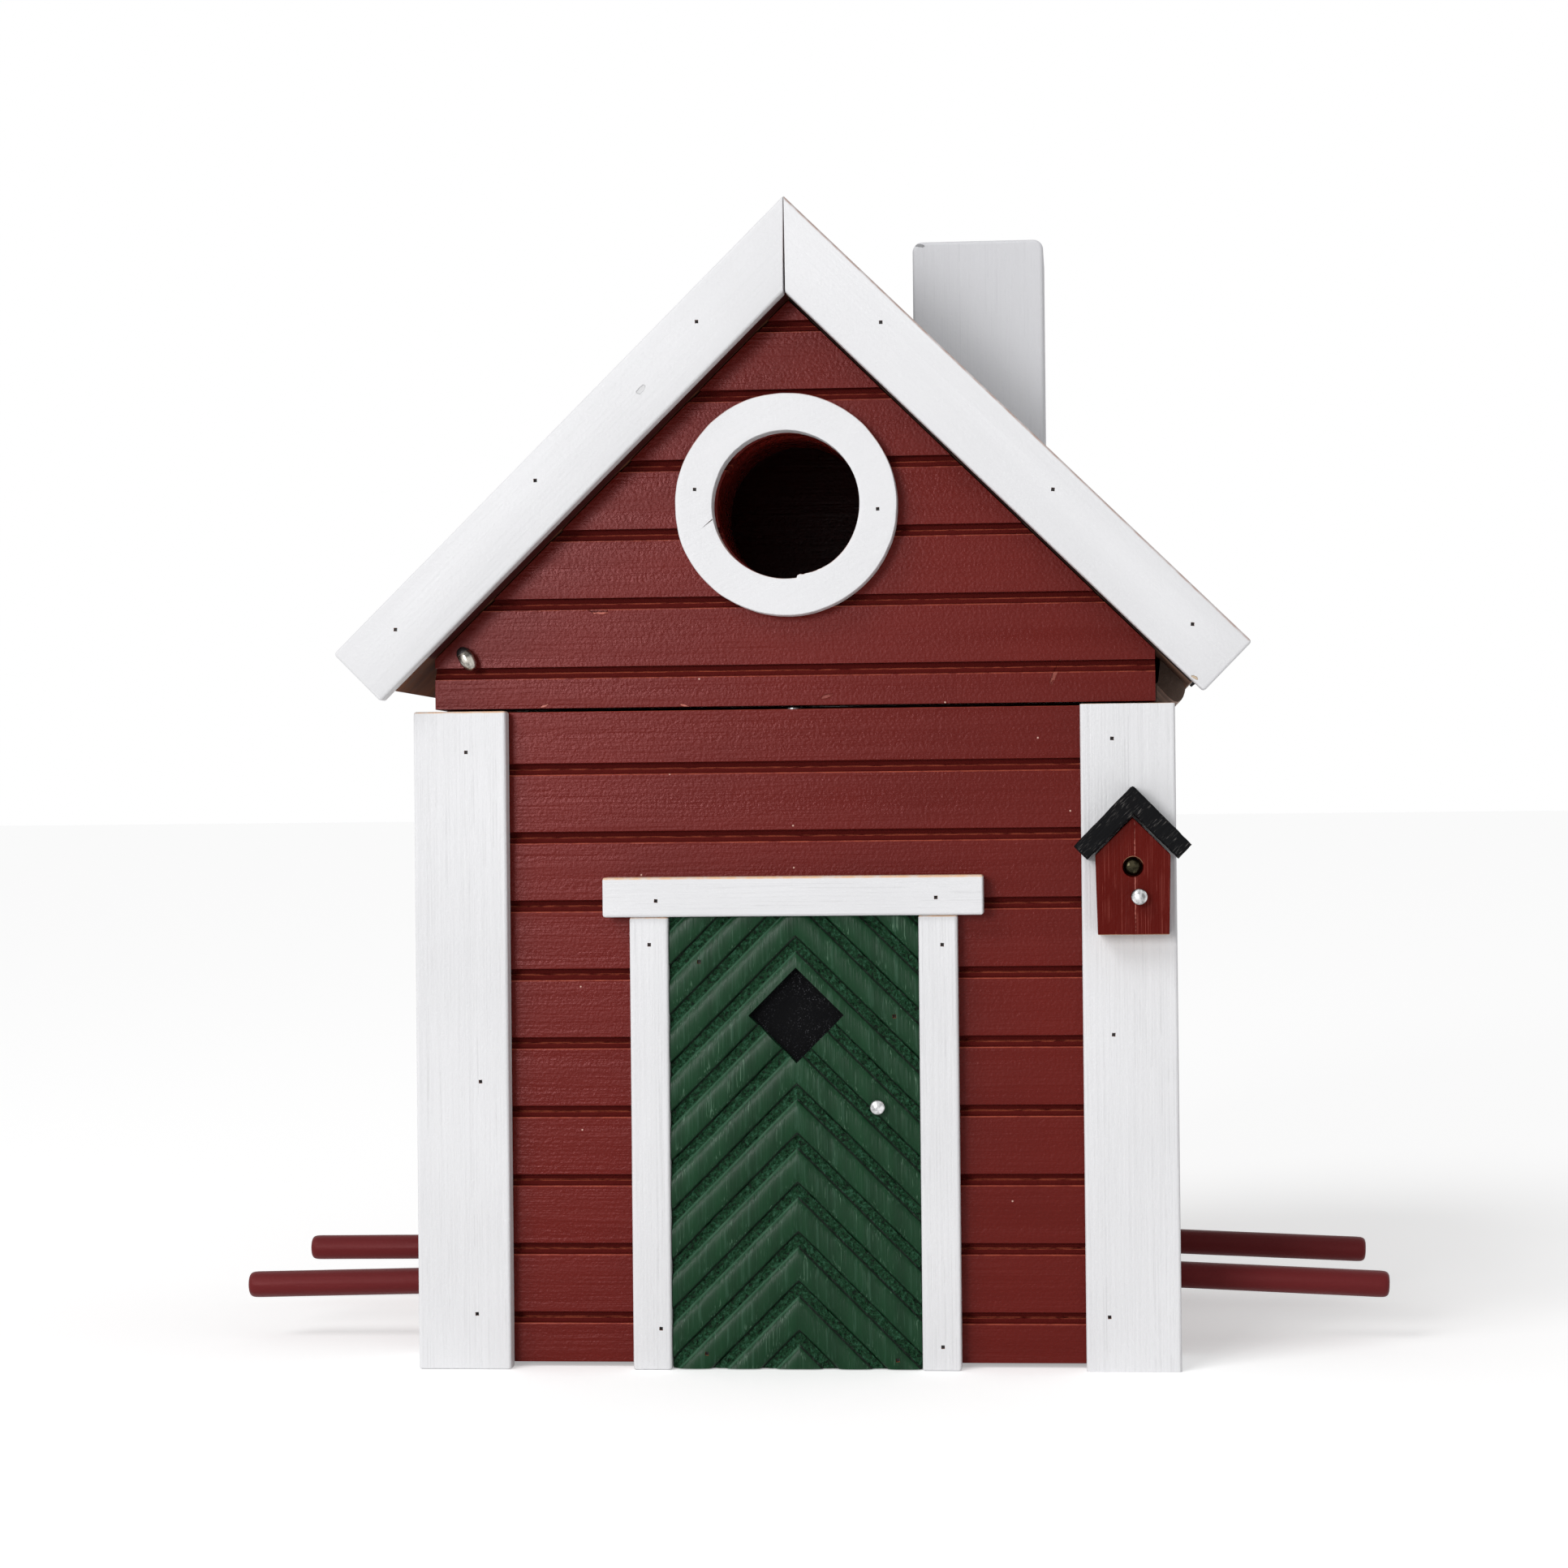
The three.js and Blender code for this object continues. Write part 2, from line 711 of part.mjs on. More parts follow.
const hingeFrom = cornerWidth + cutOverrun;
const hingeTo = bodyDepth - hingeFrom;
const hingeWallTop = hingeHeight - hingeThickness / 2 - seatGap;
const hingeWallFoot = hingeWallTop - hingeWallDrop;
const hingeWall = piece(
  "hinge_strip_wall",
  block(halfWidth, halfWidth + hingeThickness, hingeFrom, hingeTo, hingeWallFoot, hingeWallTop),
  hingeRubber,
);

// The outline of a strip that follows a curve, with a round start
function stripOutline(curve, thickness, steps) {
  const half = thickness / 2;
  const left = [];
  const right = [];
  for (let step = 0; step <= steps; step += 1) {
    const point = curve.getPoint(step / steps);
    const heading = curve.getTangent(step / steps);
    left.push([point.x - heading.y * half, point.y + heading.x * half]);
    right.unshift([point.x + heading.y * half, point.y - heading.x * half]);
  }
  const start = curve.getPoint(0);
  const heading = curve.getTangent(0);
  const roundEnd = [1, 2, 3, 4, 5].map((share) => {
    const turn = Math.atan2(-heading.x, heading.y) - (Math.PI * share) / 6;
    return [start.x + half * Math.cos(turn), start.y + half * Math.sin(turn)];
  });
  return polygon([...left, ...right, ...roundEnd]);
}

function hingeRoofStrip() {
  const below = -seatGap - hingeThickness / 2;
  const lipEnd = slopePoint(1, roofReach - 2 * coverThickness, below);
  const lipStart = slopePoint(1, roofReach - 2 * coverThickness - hingeLipReach, below);
  const curve = new THREE.CubicBezierCurve(
    new THREE.Vector2(hingeOffset, hingeHeight),
    new THREE.Vector2(hingeOffset, (hingeHeight + lipStart[1]) / 2),
    new THREE.Vector2(...lipStart),
    new THREE.Vector2(...lipEnd),
  );
  return alongY(stripOutline(curve, hingeThickness, 10), hingeFrom, hingeTo);
}

const hingeRoof = piece("hinge_strip_roof", hingeRoofStrip(), hingeRubber);

// Gables: siding cut to the roof's slopes, the front one with the entrance and the pin hole

function gableOutline() {
  const eave = slopeHeight(halfWidth, -seatGap);
  return polygon([
    [-halfWidth, gableFoot],
    [halfWidth, gableFoot],
    [halfWidth, eave],
    [0, slopeHeight(0, -seatGap)],
    [-halfWidth, eave],
  ]);
}

const gableThickness = boardThickness - runningGap;
const gableTop = slopeHeight(0, 0) + grooveMargin;

function frontGable() {
  const siding = frontBoard(gableFoot, gableTop, gableFirstGroove, gableThickness);
  const blank = common(siding, alongY(gableOutline(), -cutOverrun, boardThickness));
  const entrance = barAlongY(entranceDiameter, -cutOverrun, boardThickness, 0, entranceHeight, 48);
  const pinHoleDiameter = pinDiameter + 2 * seatGap;
  const pinHole = barAlongY(pinHoleDiameter, -cutOverrun, boardThickness, -pinOffset, pinHeight, 16);
  return cut(blank, entrance, pinHole);
}

function rearGable() {
  const siding = rearBoard(gableFoot, gableTop, gableFirstGroove, gableThickness);
  return common(siding, alongY(gableOutline(), rearInner, bodyDepth + cutOverrun));
}

// An eight-sided block behind the front gable, which makes the entrance a deeper tunnel
function entranceBlock() {
  const front = gableThickness + seatGap;
  const back = front + entranceBlockThickness;
  const corner = (entranceDiameter / 2 + entranceBlockMargin) / Math.cos(Math.PI / 8);
  const outline = [];
  for (let side = 0; side < 8; side += 1) {
    const turn = ((side + 0.5) * Math.PI) / 4;
    outline.push([corner * Math.cos(turn), entranceHeight + corner * Math.sin(turn)]);
  }
  const tunnel = barAlongY(entranceDiameter, front - cutOverrun, back + cutOverrun, 0, entranceHeight, 48);
  return cut(alongY(polygon(outline), front, back), tunnel);
}

// Roof boards, mitred at the ridge, and one sheet of felt over both, folded over their ends

const boardReach = roofReach - coverThickness;

function roofBoard(side) {
  const outline = polygon([
    [0, slopeHeight(0, 0)],
    slopePoint(side, boardReach, 0),
    slopePoint(side, boardReach, roofBoardThickness),
    [0, slopeHeight(0, roofBoardThickness)],
  ]);
  return alongY(outline, -frontOverhang, bodyDepth);
}

function roofCover() {
  const low = roofBoardThickness + seatGap;
  const high = low + coverThickness;
  const inner = boardReach + seatGap;
  const outer = inner + coverThickness;
  const half = (side) => [
    slopePoint(side, outer, high),
    slopePoint(side, outer, 0),
    slopePoint(side, inner, 0),
    slopePoint(side, inner, low),
  ];
  const right = half(1);
  const left = half(-1).reverse();
  const outline = polygon([[0, slopeHeight(0, high)], ...right, [0, slopeHeight(0, low)], ...left]);
  return alongY(outline, -frontOverhang, bodyDepth);
}

// Bargeboards: their mitre is closed at the top and opens towards the foot
function bargeboard(side) {
  const outline = polygon([
    [side * (mitreGap + mitreOpening) / 2, slopeHeight((mitreGap + mitreOpening) / 2, 0)],
    slopePoint(side, bargeReach, 0),
    slopePoint(side, bargeReach, bargeWidth),
    [side * mitreGap / 2, slopeHeight(mitreGap / 2, bargeWidth)],
  ]);
  return alongY(outline, -frontOverhang - bargeThickness, -frontOverhang);
}

// Entrance ring, with rounded edges at the front
function entranceRing() {
  const inner = entranceDiameter / 2;
  const outer = inner + ringWidth;
  const soft = ringEdgeRound * (1 - Math.SQRT1_2);
  const profile = [
    new THREE.Vector2(inner, 0),
    new THREE.Vector2(outer, 0),
    new THREE.Vector2(outer, ringThickness - ringEdgeRound),
    new THREE.Vector2(outer - soft, ringThickness - soft),
    new THREE.Vector2(outer - ringEdgeRound, ringThickness),
    new THREE.Vector2(inner + ringEdgeRound, ringThickness),
    new THREE.Vector2(inner + soft, ringThickness - soft),
    new THREE.Vector2(inner, ringThickness - ringEdgeRound),
    new THREE.Vector2(inner, 0),
  ];
  return new THREE.LatheGeometry(profile, 48).rotateX(Math.PI);
}

// Chimney: a block with rounded top corners, cut to the slope it stands on
function chimneyBlock() {
  const left = chimneyOffset - chimneyWidth / 2;
  const right = chimneyOffset + chimneyWidth / 2;
  const seat = roofBoardThickness + coverThickness + 2 * seatGap;
  const top = slopeHeight(0, seat) + chimneyRise;
  const outline = new THREE.Shape();
  outline.moveTo(left, slopeHeight(left, seat));
  outline.lineTo(right, slopeHeight(right, seat));
  outline.lineTo(right, top - chimneyRound);
  outline.absarc(right - chimneyRound, top - chimneyRound, chimneyRound, 0, Math.PI / 2, false);
  outline.lineTo(left + chimneyRound, top);
  outline.absarc(left + chimneyRound, top - chimneyRound, chimneyRound, Math.PI / 2, Math.PI, false);
  return alongY(outline, midDepth - chimneyDepth / 2, midDepth + chimneyDepth / 2);
}

const ring = piece("entrance_ring", entranceRing(), whitePaint);
ring.position.set(0, 0, entranceHeight);

// Lock pin: a straight shank with an oval head, pushed in through the gable
function lockPinShape() {
  const head = new THREE.SphereGeometry(pinHeadDiameter / 2, 20, 14);
  head.scale(1, 1, pinHeadLength / pinHeadDiameter);
  head.rotateY(-pinHeadTilt);
  head.translate(0, -pinHeadStandoff, 0);
  return join(barAlongY(pinDiameter, -pinHeadStandoff, pinReach, 0, 0, 16), head);
}

const lockPin = piece("lock_pin", lockPinShape(), brightSteel);
lockPin.position.set(-pinOffset, 0, pinHeight);

// Assembly

const house = new THREE.Group();
house.add(
  frontWall,
  rearWall,
  sideWallLeft,
  sideWallRight,
  floorBoard,
  ...corners,
  door,
  windowBacking,
  ...doorTrim,
  knob,
  miniHouse,
  stud,
  hingeWall,
);
for (const perch of perches) {
  const dowel = piece(perch.name, perchBar(), redPaint);
  dowel.applyMatrix4(perchPlace(perch));
  house.add(dowel);
}

const lid = new THREE.Group();
lid.add(
  piece("front_gable", frontGable(), redPaint),
  piece("entrance_block", entranceBlock(), redPaint),
  piece("rear_gable", rearGable(), redPaint),
  piece("roof_board_left", roofBoard(-1), brownStain),
  piece("roof_board_right", roofBoard(1), brownStain),
  piece("roof_cover", roofCover(), roofFelt),
  piece("bargeboard_left", bargeboard(-1), whitePaint),
  piece("bargeboard_right", bargeboard(1), whitePaint),
  ring,
  piece("chimney", chimneyBlock(), greyPaint),
  hingeRoof,
  lockPin,
);

const birdhouse = new THREE.Group();
birdhouse.add(house, lid);
birdhouse.updateMatrixWorld(true);
const extent = new THREE.Box3().setFromObject(birdhouse, true);
const middle = extent.getCenter(new THREE.Vector3());
birdhouse.position.set(-middle.x, -middle.y, -extent.min.z);

export default birdhouse;
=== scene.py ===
"""The looks of the painted birdhouse: paint over grain, carved door, nails, felt and steel."""

import json
import math

import bmesh
import bpy
import numpy as np
from mathutils import Matrix, Vector
from mathutils import noise as field

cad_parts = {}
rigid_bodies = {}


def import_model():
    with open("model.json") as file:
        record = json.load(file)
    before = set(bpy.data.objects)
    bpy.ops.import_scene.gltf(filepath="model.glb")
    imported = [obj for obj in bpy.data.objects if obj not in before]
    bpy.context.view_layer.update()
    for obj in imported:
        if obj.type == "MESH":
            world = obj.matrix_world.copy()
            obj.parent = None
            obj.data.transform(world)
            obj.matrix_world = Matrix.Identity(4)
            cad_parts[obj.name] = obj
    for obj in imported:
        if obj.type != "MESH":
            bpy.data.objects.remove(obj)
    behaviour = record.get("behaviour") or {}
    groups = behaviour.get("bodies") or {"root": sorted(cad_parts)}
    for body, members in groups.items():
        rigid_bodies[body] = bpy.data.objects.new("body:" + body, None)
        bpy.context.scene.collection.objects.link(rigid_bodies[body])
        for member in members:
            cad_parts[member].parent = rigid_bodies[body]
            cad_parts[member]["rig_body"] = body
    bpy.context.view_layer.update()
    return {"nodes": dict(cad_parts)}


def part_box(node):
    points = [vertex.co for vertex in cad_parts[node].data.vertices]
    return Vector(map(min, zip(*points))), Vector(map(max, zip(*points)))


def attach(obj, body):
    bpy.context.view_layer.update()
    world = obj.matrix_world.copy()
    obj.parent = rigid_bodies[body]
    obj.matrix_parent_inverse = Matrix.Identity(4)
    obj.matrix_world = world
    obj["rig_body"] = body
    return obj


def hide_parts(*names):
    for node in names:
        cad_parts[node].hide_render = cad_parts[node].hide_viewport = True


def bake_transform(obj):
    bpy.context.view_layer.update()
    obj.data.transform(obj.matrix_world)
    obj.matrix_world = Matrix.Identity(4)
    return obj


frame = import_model()
nodes = frame["nodes"]
MM = 0.001
ROOF_PITCH = math.radians(44.5)

# In millimetres: the roof boards' thickness, and the place in Y of the middle of the walls' depth
ROOF_BOARD = 12
WALLS_MIDDLE = 7.8


def placed(name, data):
    """A new object in the scene."""
    made = bpy.data.objects.new(name, data)
    bpy.context.scene.collection.objects.link(made)
    return made


# Camera and light

CAMERA_PLACE = (0.06192, -0.80894, 0.12059)
CAMERA_YAW, CAMERA_PITCH, CAMERA_ROLL = (math.radians(turn) for turn in (4.892, 0.454, 0.569))
CAMERA_LENS = 79.2

SKY = 0.44
KEY = 0.84
KEY_SOFTNESS = 24
KEY_FROM = Vector((-0.5, -0.6, 0.62)).normalized()
SOFTBOX_PLACE = Vector((-0.57, -1.72, 0.42))
SOFTBOX_TARGET = Vector((0, 0, 0.13))
SOFTBOX_SIZE = 0.46
SOFTBOX_POWER = 12.4
FLOOR_BOUNCE = 0.95
FLOOR_GLOW = 0.35
FLOOR_REACH = 60


def make_camera():
    data = bpy.data.cameras.new("camera")
    data.sensor_width = 36
    data.lens = CAMERA_LENS
    data.clip_end = 200
    camera = placed("camera", data)
    turn = (
        Matrix.Rotation(CAMERA_YAW, 3, "Z")
        @ Matrix.Rotation(CAMERA_PITCH, 3, "X")
        @ Matrix.Rotation(CAMERA_ROLL, 3, "Y")
    )
    looking_along_y = Matrix(((1, 0, 0), (0, 0, -1), (0, 1, 0)))
    camera.matrix_world = Matrix.Translation(CAMERA_PLACE) @ (turn @ looking_along_y).to_4x4()
    bpy.context.scene.camera = camera


def make_key():
    """A soft sun from the upper left."""
    data = bpy.data.lights.new("key", "SUN")
    data.energy = KEY
    data.angle = math.radians(KEY_SOFTNESS)
    sun = placed("key", data)
    sun.rotation_mode = "QUATERNION"
    sun.rotation_quaternion = KEY_FROM.to_track_quat("Z", "Y")


def make_softbox():
    """A broad window of light at the front left, which gives the paint its sheen."""
    data = bpy.data.lights.new("softbox", "AREA")
    data.shape = "SQUARE"
    data.size = SOFTBOX_SIZE
    data.energy = SOFTBOX_POWER
    softbox = placed("softbox", data)
    softbox.location = SOFTBOX_PLACE
    softbox.rotation_mode = "QUATERNION"
    softbox.rotation_quaternion = (SOFTBOX_PLACE - SOFTBOX_TARGET).to_track_quat("Z", "Y")


def seen_or_bounced(tree, bounced, seen):
    """One value for rays from the camera, mirrors and glass, and another for all the other light."""
    path = tree.nodes.new("ShaderNodeLightPath")
    direct = path.outputs["Is Camera Ray"]
    for kind in ("Is Glossy Ray", "Is Transmission Ray"):
        either = tree.nodes.new("ShaderNodeMath")
        either.operation = "MAXIMUM"
        tree.links.new(direct, either.inputs[0])
        tree.links.new(path.outputs[kind], either.inputs[1])
        direct = either.outputs[0]
    value = tree.nodes.new("ShaderNodeMapRange")
    value.inputs["To Min"].default_value = bounced
    value.inputs["To Max"].default_value = seen
    tree.links.new(direct, value.inputs["Value"])
    return value.outputs["Result"]


def make_world():
    world = bpy.data.worlds.new("studio")
    bpy.context.scene.world = world
    world.use_nodes = True
    background = world.node_tree.nodes["Background"]
    background.inputs["Color"].default_value = (1, 1, 1, 1)
    world.node_tree.links.new(seen_or_bounced(world.node_tree, SKY, 1), background.inputs["Strength"])


def make_floor():
    mesh = bpy.data.meshes.new("floor")
    ways = ((-1, -1), (1, -1), (1, 1), (-1, 1))
    mesh.from_pydata([(FLOOR_REACH * x, FLOOR_REACH * y, 0) for x, y in ways], [], [(0, 1, 2, 3)])
    floor = placed("floor", mesh)
    material = bpy.data.materials.new("floor")
    material.use_nodes = True
    shader = material.node_tree.nodes["Principled BSDF"]
    white = seen_or_bounced(material.node_tree, FLOOR_BOUNCE, 1)
    glow = seen_or_bounced(material.node_tree, 0, FLOOR_GLOW)
    material.node_tree.links.new(white, shader.inputs["Base Color"])
    material.node_tree.links.new(glow, shader.inputs["Emission Strength"])
    shader.inputs["Emission Color"].default_value = (1, 1, 1, 1)
    shader.inputs["Roughness"].default_value = 1
    shader.inputs["Specular IOR Level"].default_value = 0
    mesh.materials.append(material)


make_camera()
make_world()
make_key()
make_softbox()
make_floor()
bpy.context.scene.view_settings.view_transform = "Standard"


# Finishes

class Finish:
    """One material's node tree. Each input may be a socket, a number or a colour."""

    def __init__(self, name, **constants):
        self.material = bpy.data.materials.new(name)
        self.material.use_nodes = True
        self.tree = self.material.node_tree
        self.shader = self.tree.nodes["Principled BSDF"]
        self.place = self.add("ShaderNodeTexCoord").outputs["Object"]
        for key, value in constants.items():
            self.shader.inputs[key.replace("_", " ")].default_value = value

    def add(self, kind, inputs=None, **settings):
        node = self.tree.nodes.new(kind)
        for key, value in settings.items():
            setattr(node, key, value)
        for key, value in (inputs or {}).items():
            self.feed(node.inputs[key], value)
        return node

    def feed(self, socket, value):
        if isinstance(value, bpy.types.NodeSocket):
            self.tree.links.new(value, socket)
        else:
            socket.default_value = value

    def turned(self, along):
        """Coordinates in which X runs along the grain."""
        turns = {
            "x": (0, 0, 0),
            "y": (0, 0, math.pi / 2),
            "z": (0, math.pi / 2, 0),
            "left_slope": (0, ROOF_PITCH, 0),
            "right_slope": (0, -ROOF_PITCH, 0),
            "ring": (0, math.radians(27), 0),
        }
        return self.add("ShaderNodeMapping", {"Vector": self.place, "Rotation": turns[along]}).outputs[0]

    def noise(self, stretch, detail=3.0, rough=0.5, place=None, distortion=0.0):
        """Cloudy noise whose fineness is one number, or three where it is drawn out."""
        if not isinstance(stretch, tuple):
            stretch = (stretch,) * 3
        mapped = self.add("ShaderNodeMapping", {"Vector": place or self.place, "Scale": stretch})
        inputs = {
            "Vector": mapped.outputs[0],
            "Scale": 1.0,
            "Detail": detail,
            "Roughness": rough,
            "Distortion": distortion,
        }
        return self.add("ShaderNodeTexNoise", inputs).outputs["Fac"]

    def band(self, value, low, high, to_low=0.0, to_high=1.0):
        inputs = {"Value": value, "From Min": low, "From Max": high, "To Min": to_low, "To Max": to_high}
        return self.add("ShaderNodeMapRange", inputs).outputs["Result"]

    def calc(self, operation, first, second=0.0, third=0.5):
        return self.add("ShaderNodeMath", {0: first, 1: second, 2: third}, operation=operation).outputs[0]

    def times(self, first, second):
        return self.calc("MULTIPLY", first, second)

    def mix(self, share, first, second):
        node = self.add("ShaderNodeMix", data_type="RGBA")
        self.feed(node.inputs[0], share)
        self.feed(node.inputs[6], first)
        self.feed(node.inputs[7], second)
        return node.outputs[2]

    def axis(self, name):
        return self.add("ShaderNodeSeparateXYZ", {0: self.place}).outputs[name]

    def facing(self, up):
        """One where the surface looks up, or down if up is -1, and nothing elsewhere."""
        normal = self.add("ShaderNodeNewGeometry").outputs["Normal"]
        height = self.add("ShaderNodeSeparateXYZ", {0: normal}).outputs["Z"]
        return self.band(self.times(height, up), 0.2, 0.4)

    def spot(self, place, reach, turn):
        """One inside a ragged oval at a place in millimetres, and nothing outside it."""
        inputs = {
            "Vector": self.place,
            "Location": [MM * value for value in place],
            "Rotation": (0, math.radians(turn), 0),
            "Scale": [MM * value for value in reach],
        }
        inside = self.add("ShaderNodeMapping", inputs, vector_type="TEXTURE").outputs[0]
        far = self.add("ShaderNodeVectorMath", {0: inside}, operation="LENGTH").outputs["Value"]
        rag = self.band(self.noise(1600, 2), 0.3, 0.7, -0.35, 0.35)
        return self.band(self.calc("ADD", far, rag), 1.1, 0.75)

    def bump(self, height, depth, normal=None):
        inputs = {"Height": height, "Distance": depth, "Strength": 1.0}
        if normal:
            inputs["Normal"] = normal
        return self.add("ShaderNodeBump", inputs).outputs["Normal"]

    def done(self, color, roughness, normal):
        for name, value in (("Base Color", color), ("Roughness", roughness), ("Normal", normal)):
            self.feed(self.shader.inputs[name], value)
        return self.material


def tint(color, factor):
    return tuple(min(channel * factor, 1) for channel in color) + (1,)


RED = (0.1, 0.006, 0.003)
DOWEL_RED = (0.122, 0.0135, 0.015)
WHITE = (0.752, 0.752, 0.767)
GREEN = (0.0045, 0.033, 0.0115)
BLACK = (0.0042, 0.0043, 0.005)
GREY = (0.72, 0.72, 0.745)
BROWN = (0.22, 0.115, 0.072)
BARE_WOOD = (0.5, 0.3, 0.17)


def painted(
    name,
    color,
    along,
    relief=0.00016,
    gloss=0.26,
    shine=0.14,
    glow=(1, 1, 1),
    variation=0.1,
    tops=None,
    bottoms=None,
    wear_and_light=(),
    streaks=None,
    grooves=None,
    specks=0.0,
):
    """Satin paint over planed wood whose grain runs along a direction.

    Glow is the tint of the paint's sheen. Tops and bottoms are edges that face up or down and show a colour
    through the paint. Wear and light are ovals, each with a place, a reach, a turn and a colour, for worn
    places and for painted light. Streaks are scratches along the grain: their share, their colour and how
    fine they are along and across it. Grooves give the height of one siding groove's middle. Specks are the
    share of cells with a pale dot.
    """
    finish = Finish(name, Specular_IOR_Level=shine, Specular_Tint=(*glow, 1))
    run = finish.turned(along)
    fibres = finish.noise((45, 1500, 1500), 4, 0.6, run)
    rings = finish.noise((9, 220, 220), 3, 0.5, run, 0.6)
    peel = finish.noise(1500, 3)
    cloud = finish.noise(28, 3)
    height = finish.calc("ADD", finish.times(fibres, 0.45), finish.times(rings, 0.8))
    shade = finish.mix(finish.band(cloud, 0.3, 0.7), tint(color, 1 - variation), tint(color, 1 + variation))
    streak = finish.band(fibres, 0.35, 0.65)
    shade = finish.mix(finish.times(streak, variation), shade, tint(color, 0.7))
    if streaks:
        share, scratched, along_it, across_it = streaks
        thin = finish.noise((along_it, across_it, across_it), 2, 0.5, run)
        broken = finish.band(finish.noise((160, 500, 500), 2, 0.5, run), 0.42, 0.56)
        scratch = finish.times(finish.band(thin, 0.58, 0.66), broken)
        shade = finish.mix(finish.times(scratch, share), shade, tint(scratched, 1))
    patchy = finish.band(finish.noise(350, 3), 0.35, 0.6, 0.4, 0.95)
    for shown, up in ((tops, 1), (bottoms, -1)):
        if shown:
            shade = finish.mix(finish.times(finish.facing(up), patchy), shade, tint(shown, 1))
    if specks:
        flat = finish.add("ShaderNodeCombineXYZ", {0: finish.axis("X"), 1: finish.axis("Z")}).outputs[0]
        cells = finish.add("ShaderNodeTexVoronoi", {"Vector": flat, "Scale": 150.0}, voronoi_dimensions="2D")
        chance = finish.add("ShaderNodeSeparateColor", {0: cells.outputs["Color"]}).outputs[0]
        dots = finish.calc(
            "MULTIPLY",
            finish.band(cells.outputs["Distance"], 0.036, 0.016),
            finish.calc("GREATER_THAN", chance, 1 - specks),
        )
        shade = finish.mix(dots, shade, (0.62, 0.4, 0.33, 1))
    # Worn places, and painted light where an oval is given for it.
    for place, reach, turn, shown in wear_and_light:
        spot = finish.spot(place, reach, turn)
        shade = finish.mix(spot, shade, tint(shown, 1))
        height = finish.calc("SUBTRACT", height, finish.times(spot, 1.2))
    roughness = finish.band(rings, 0.3, 0.7, gloss - 0.05, gloss + 0.1)
    if grooves is not None:
        shade, roughness, height = groove_paint(finish, color, grooves, shade, roughness, height)
    normal = finish.bump(peel, 0.00007, finish.bump(height, relief))
    return finish.done(shade, roughness, normal)


SIDING_PITCH = 14.95


def groove_paint(finish, color, middle, shade, roughness, height):
    """Thick dull paint, darkened as painted shade, in the siding's outer grooves; painted highlights on the
    ledge and the edge below.
    """
    from_middle = finish.calc("SUBTRACT", finish.axis("Z"), middle * MM)
    phase = finish.calc("WRAP", from_middle, SIDING_PITCH / 2 * MM, -SIDING_PITCH / 2 * MM)
    apart = finish.calc("ABSOLUTE", phase)
    from_centre = finish.calc("ABSOLUTE", finish.calc("SUBTRACT", finish.axis("Y"), WALLS_MIDDLE * MM))
    at_ends = finish.band(from_centre, 64 * MM, 66 * MM)
    at_sides = finish.band(finish.calc("ABSOLUTE", finish.axis("X")), 73 * MM, 75 * MM)
    outdoors = finish.calc("MAXIMUM", at_ends, at_sides)
    inside = finish.times(finish.band(apart, 1.28 * MM, 1.16 * MM), outdoors)
    crumbs = finish.noise(1300, 3, 0.65)
    # Painted shade: the paint in the grooves is darker, as where shade falls in them.
    shade = finish.mix(inside, shade, (color[0] * 0.68, color[1] * 0.45, color[2] * 0.45, 1))
    broken = finish.times(finish.band(finish.noise((300, 900, 900), 3, 0.6), 0.36, 0.56), outdoors)
    # Painted highlights: broken pale lines on the ledge's edge and on the edge of the board below.
    for height_of, strength in ((-0.02, 0.8), (-1.3, 0.5)):
        away = finish.calc("ABSOLUTE", finish.calc("SUBTRACT", phase, height_of * MM))
        glint = finish.times(finish.band(away, 0.2 * MM, 0.08 * MM), broken)
        shade = finish.mix(finish.times(glint, strength), shade, (0.37, 0.08, 0.04, 1))
    roughness = finish.band(inside, 0, 1, roughness, 0.8)
    height = finish.calc("ADD", height, finish.times(finish.times(crumbs, inside), 1.6))
    return shade, roughness, height


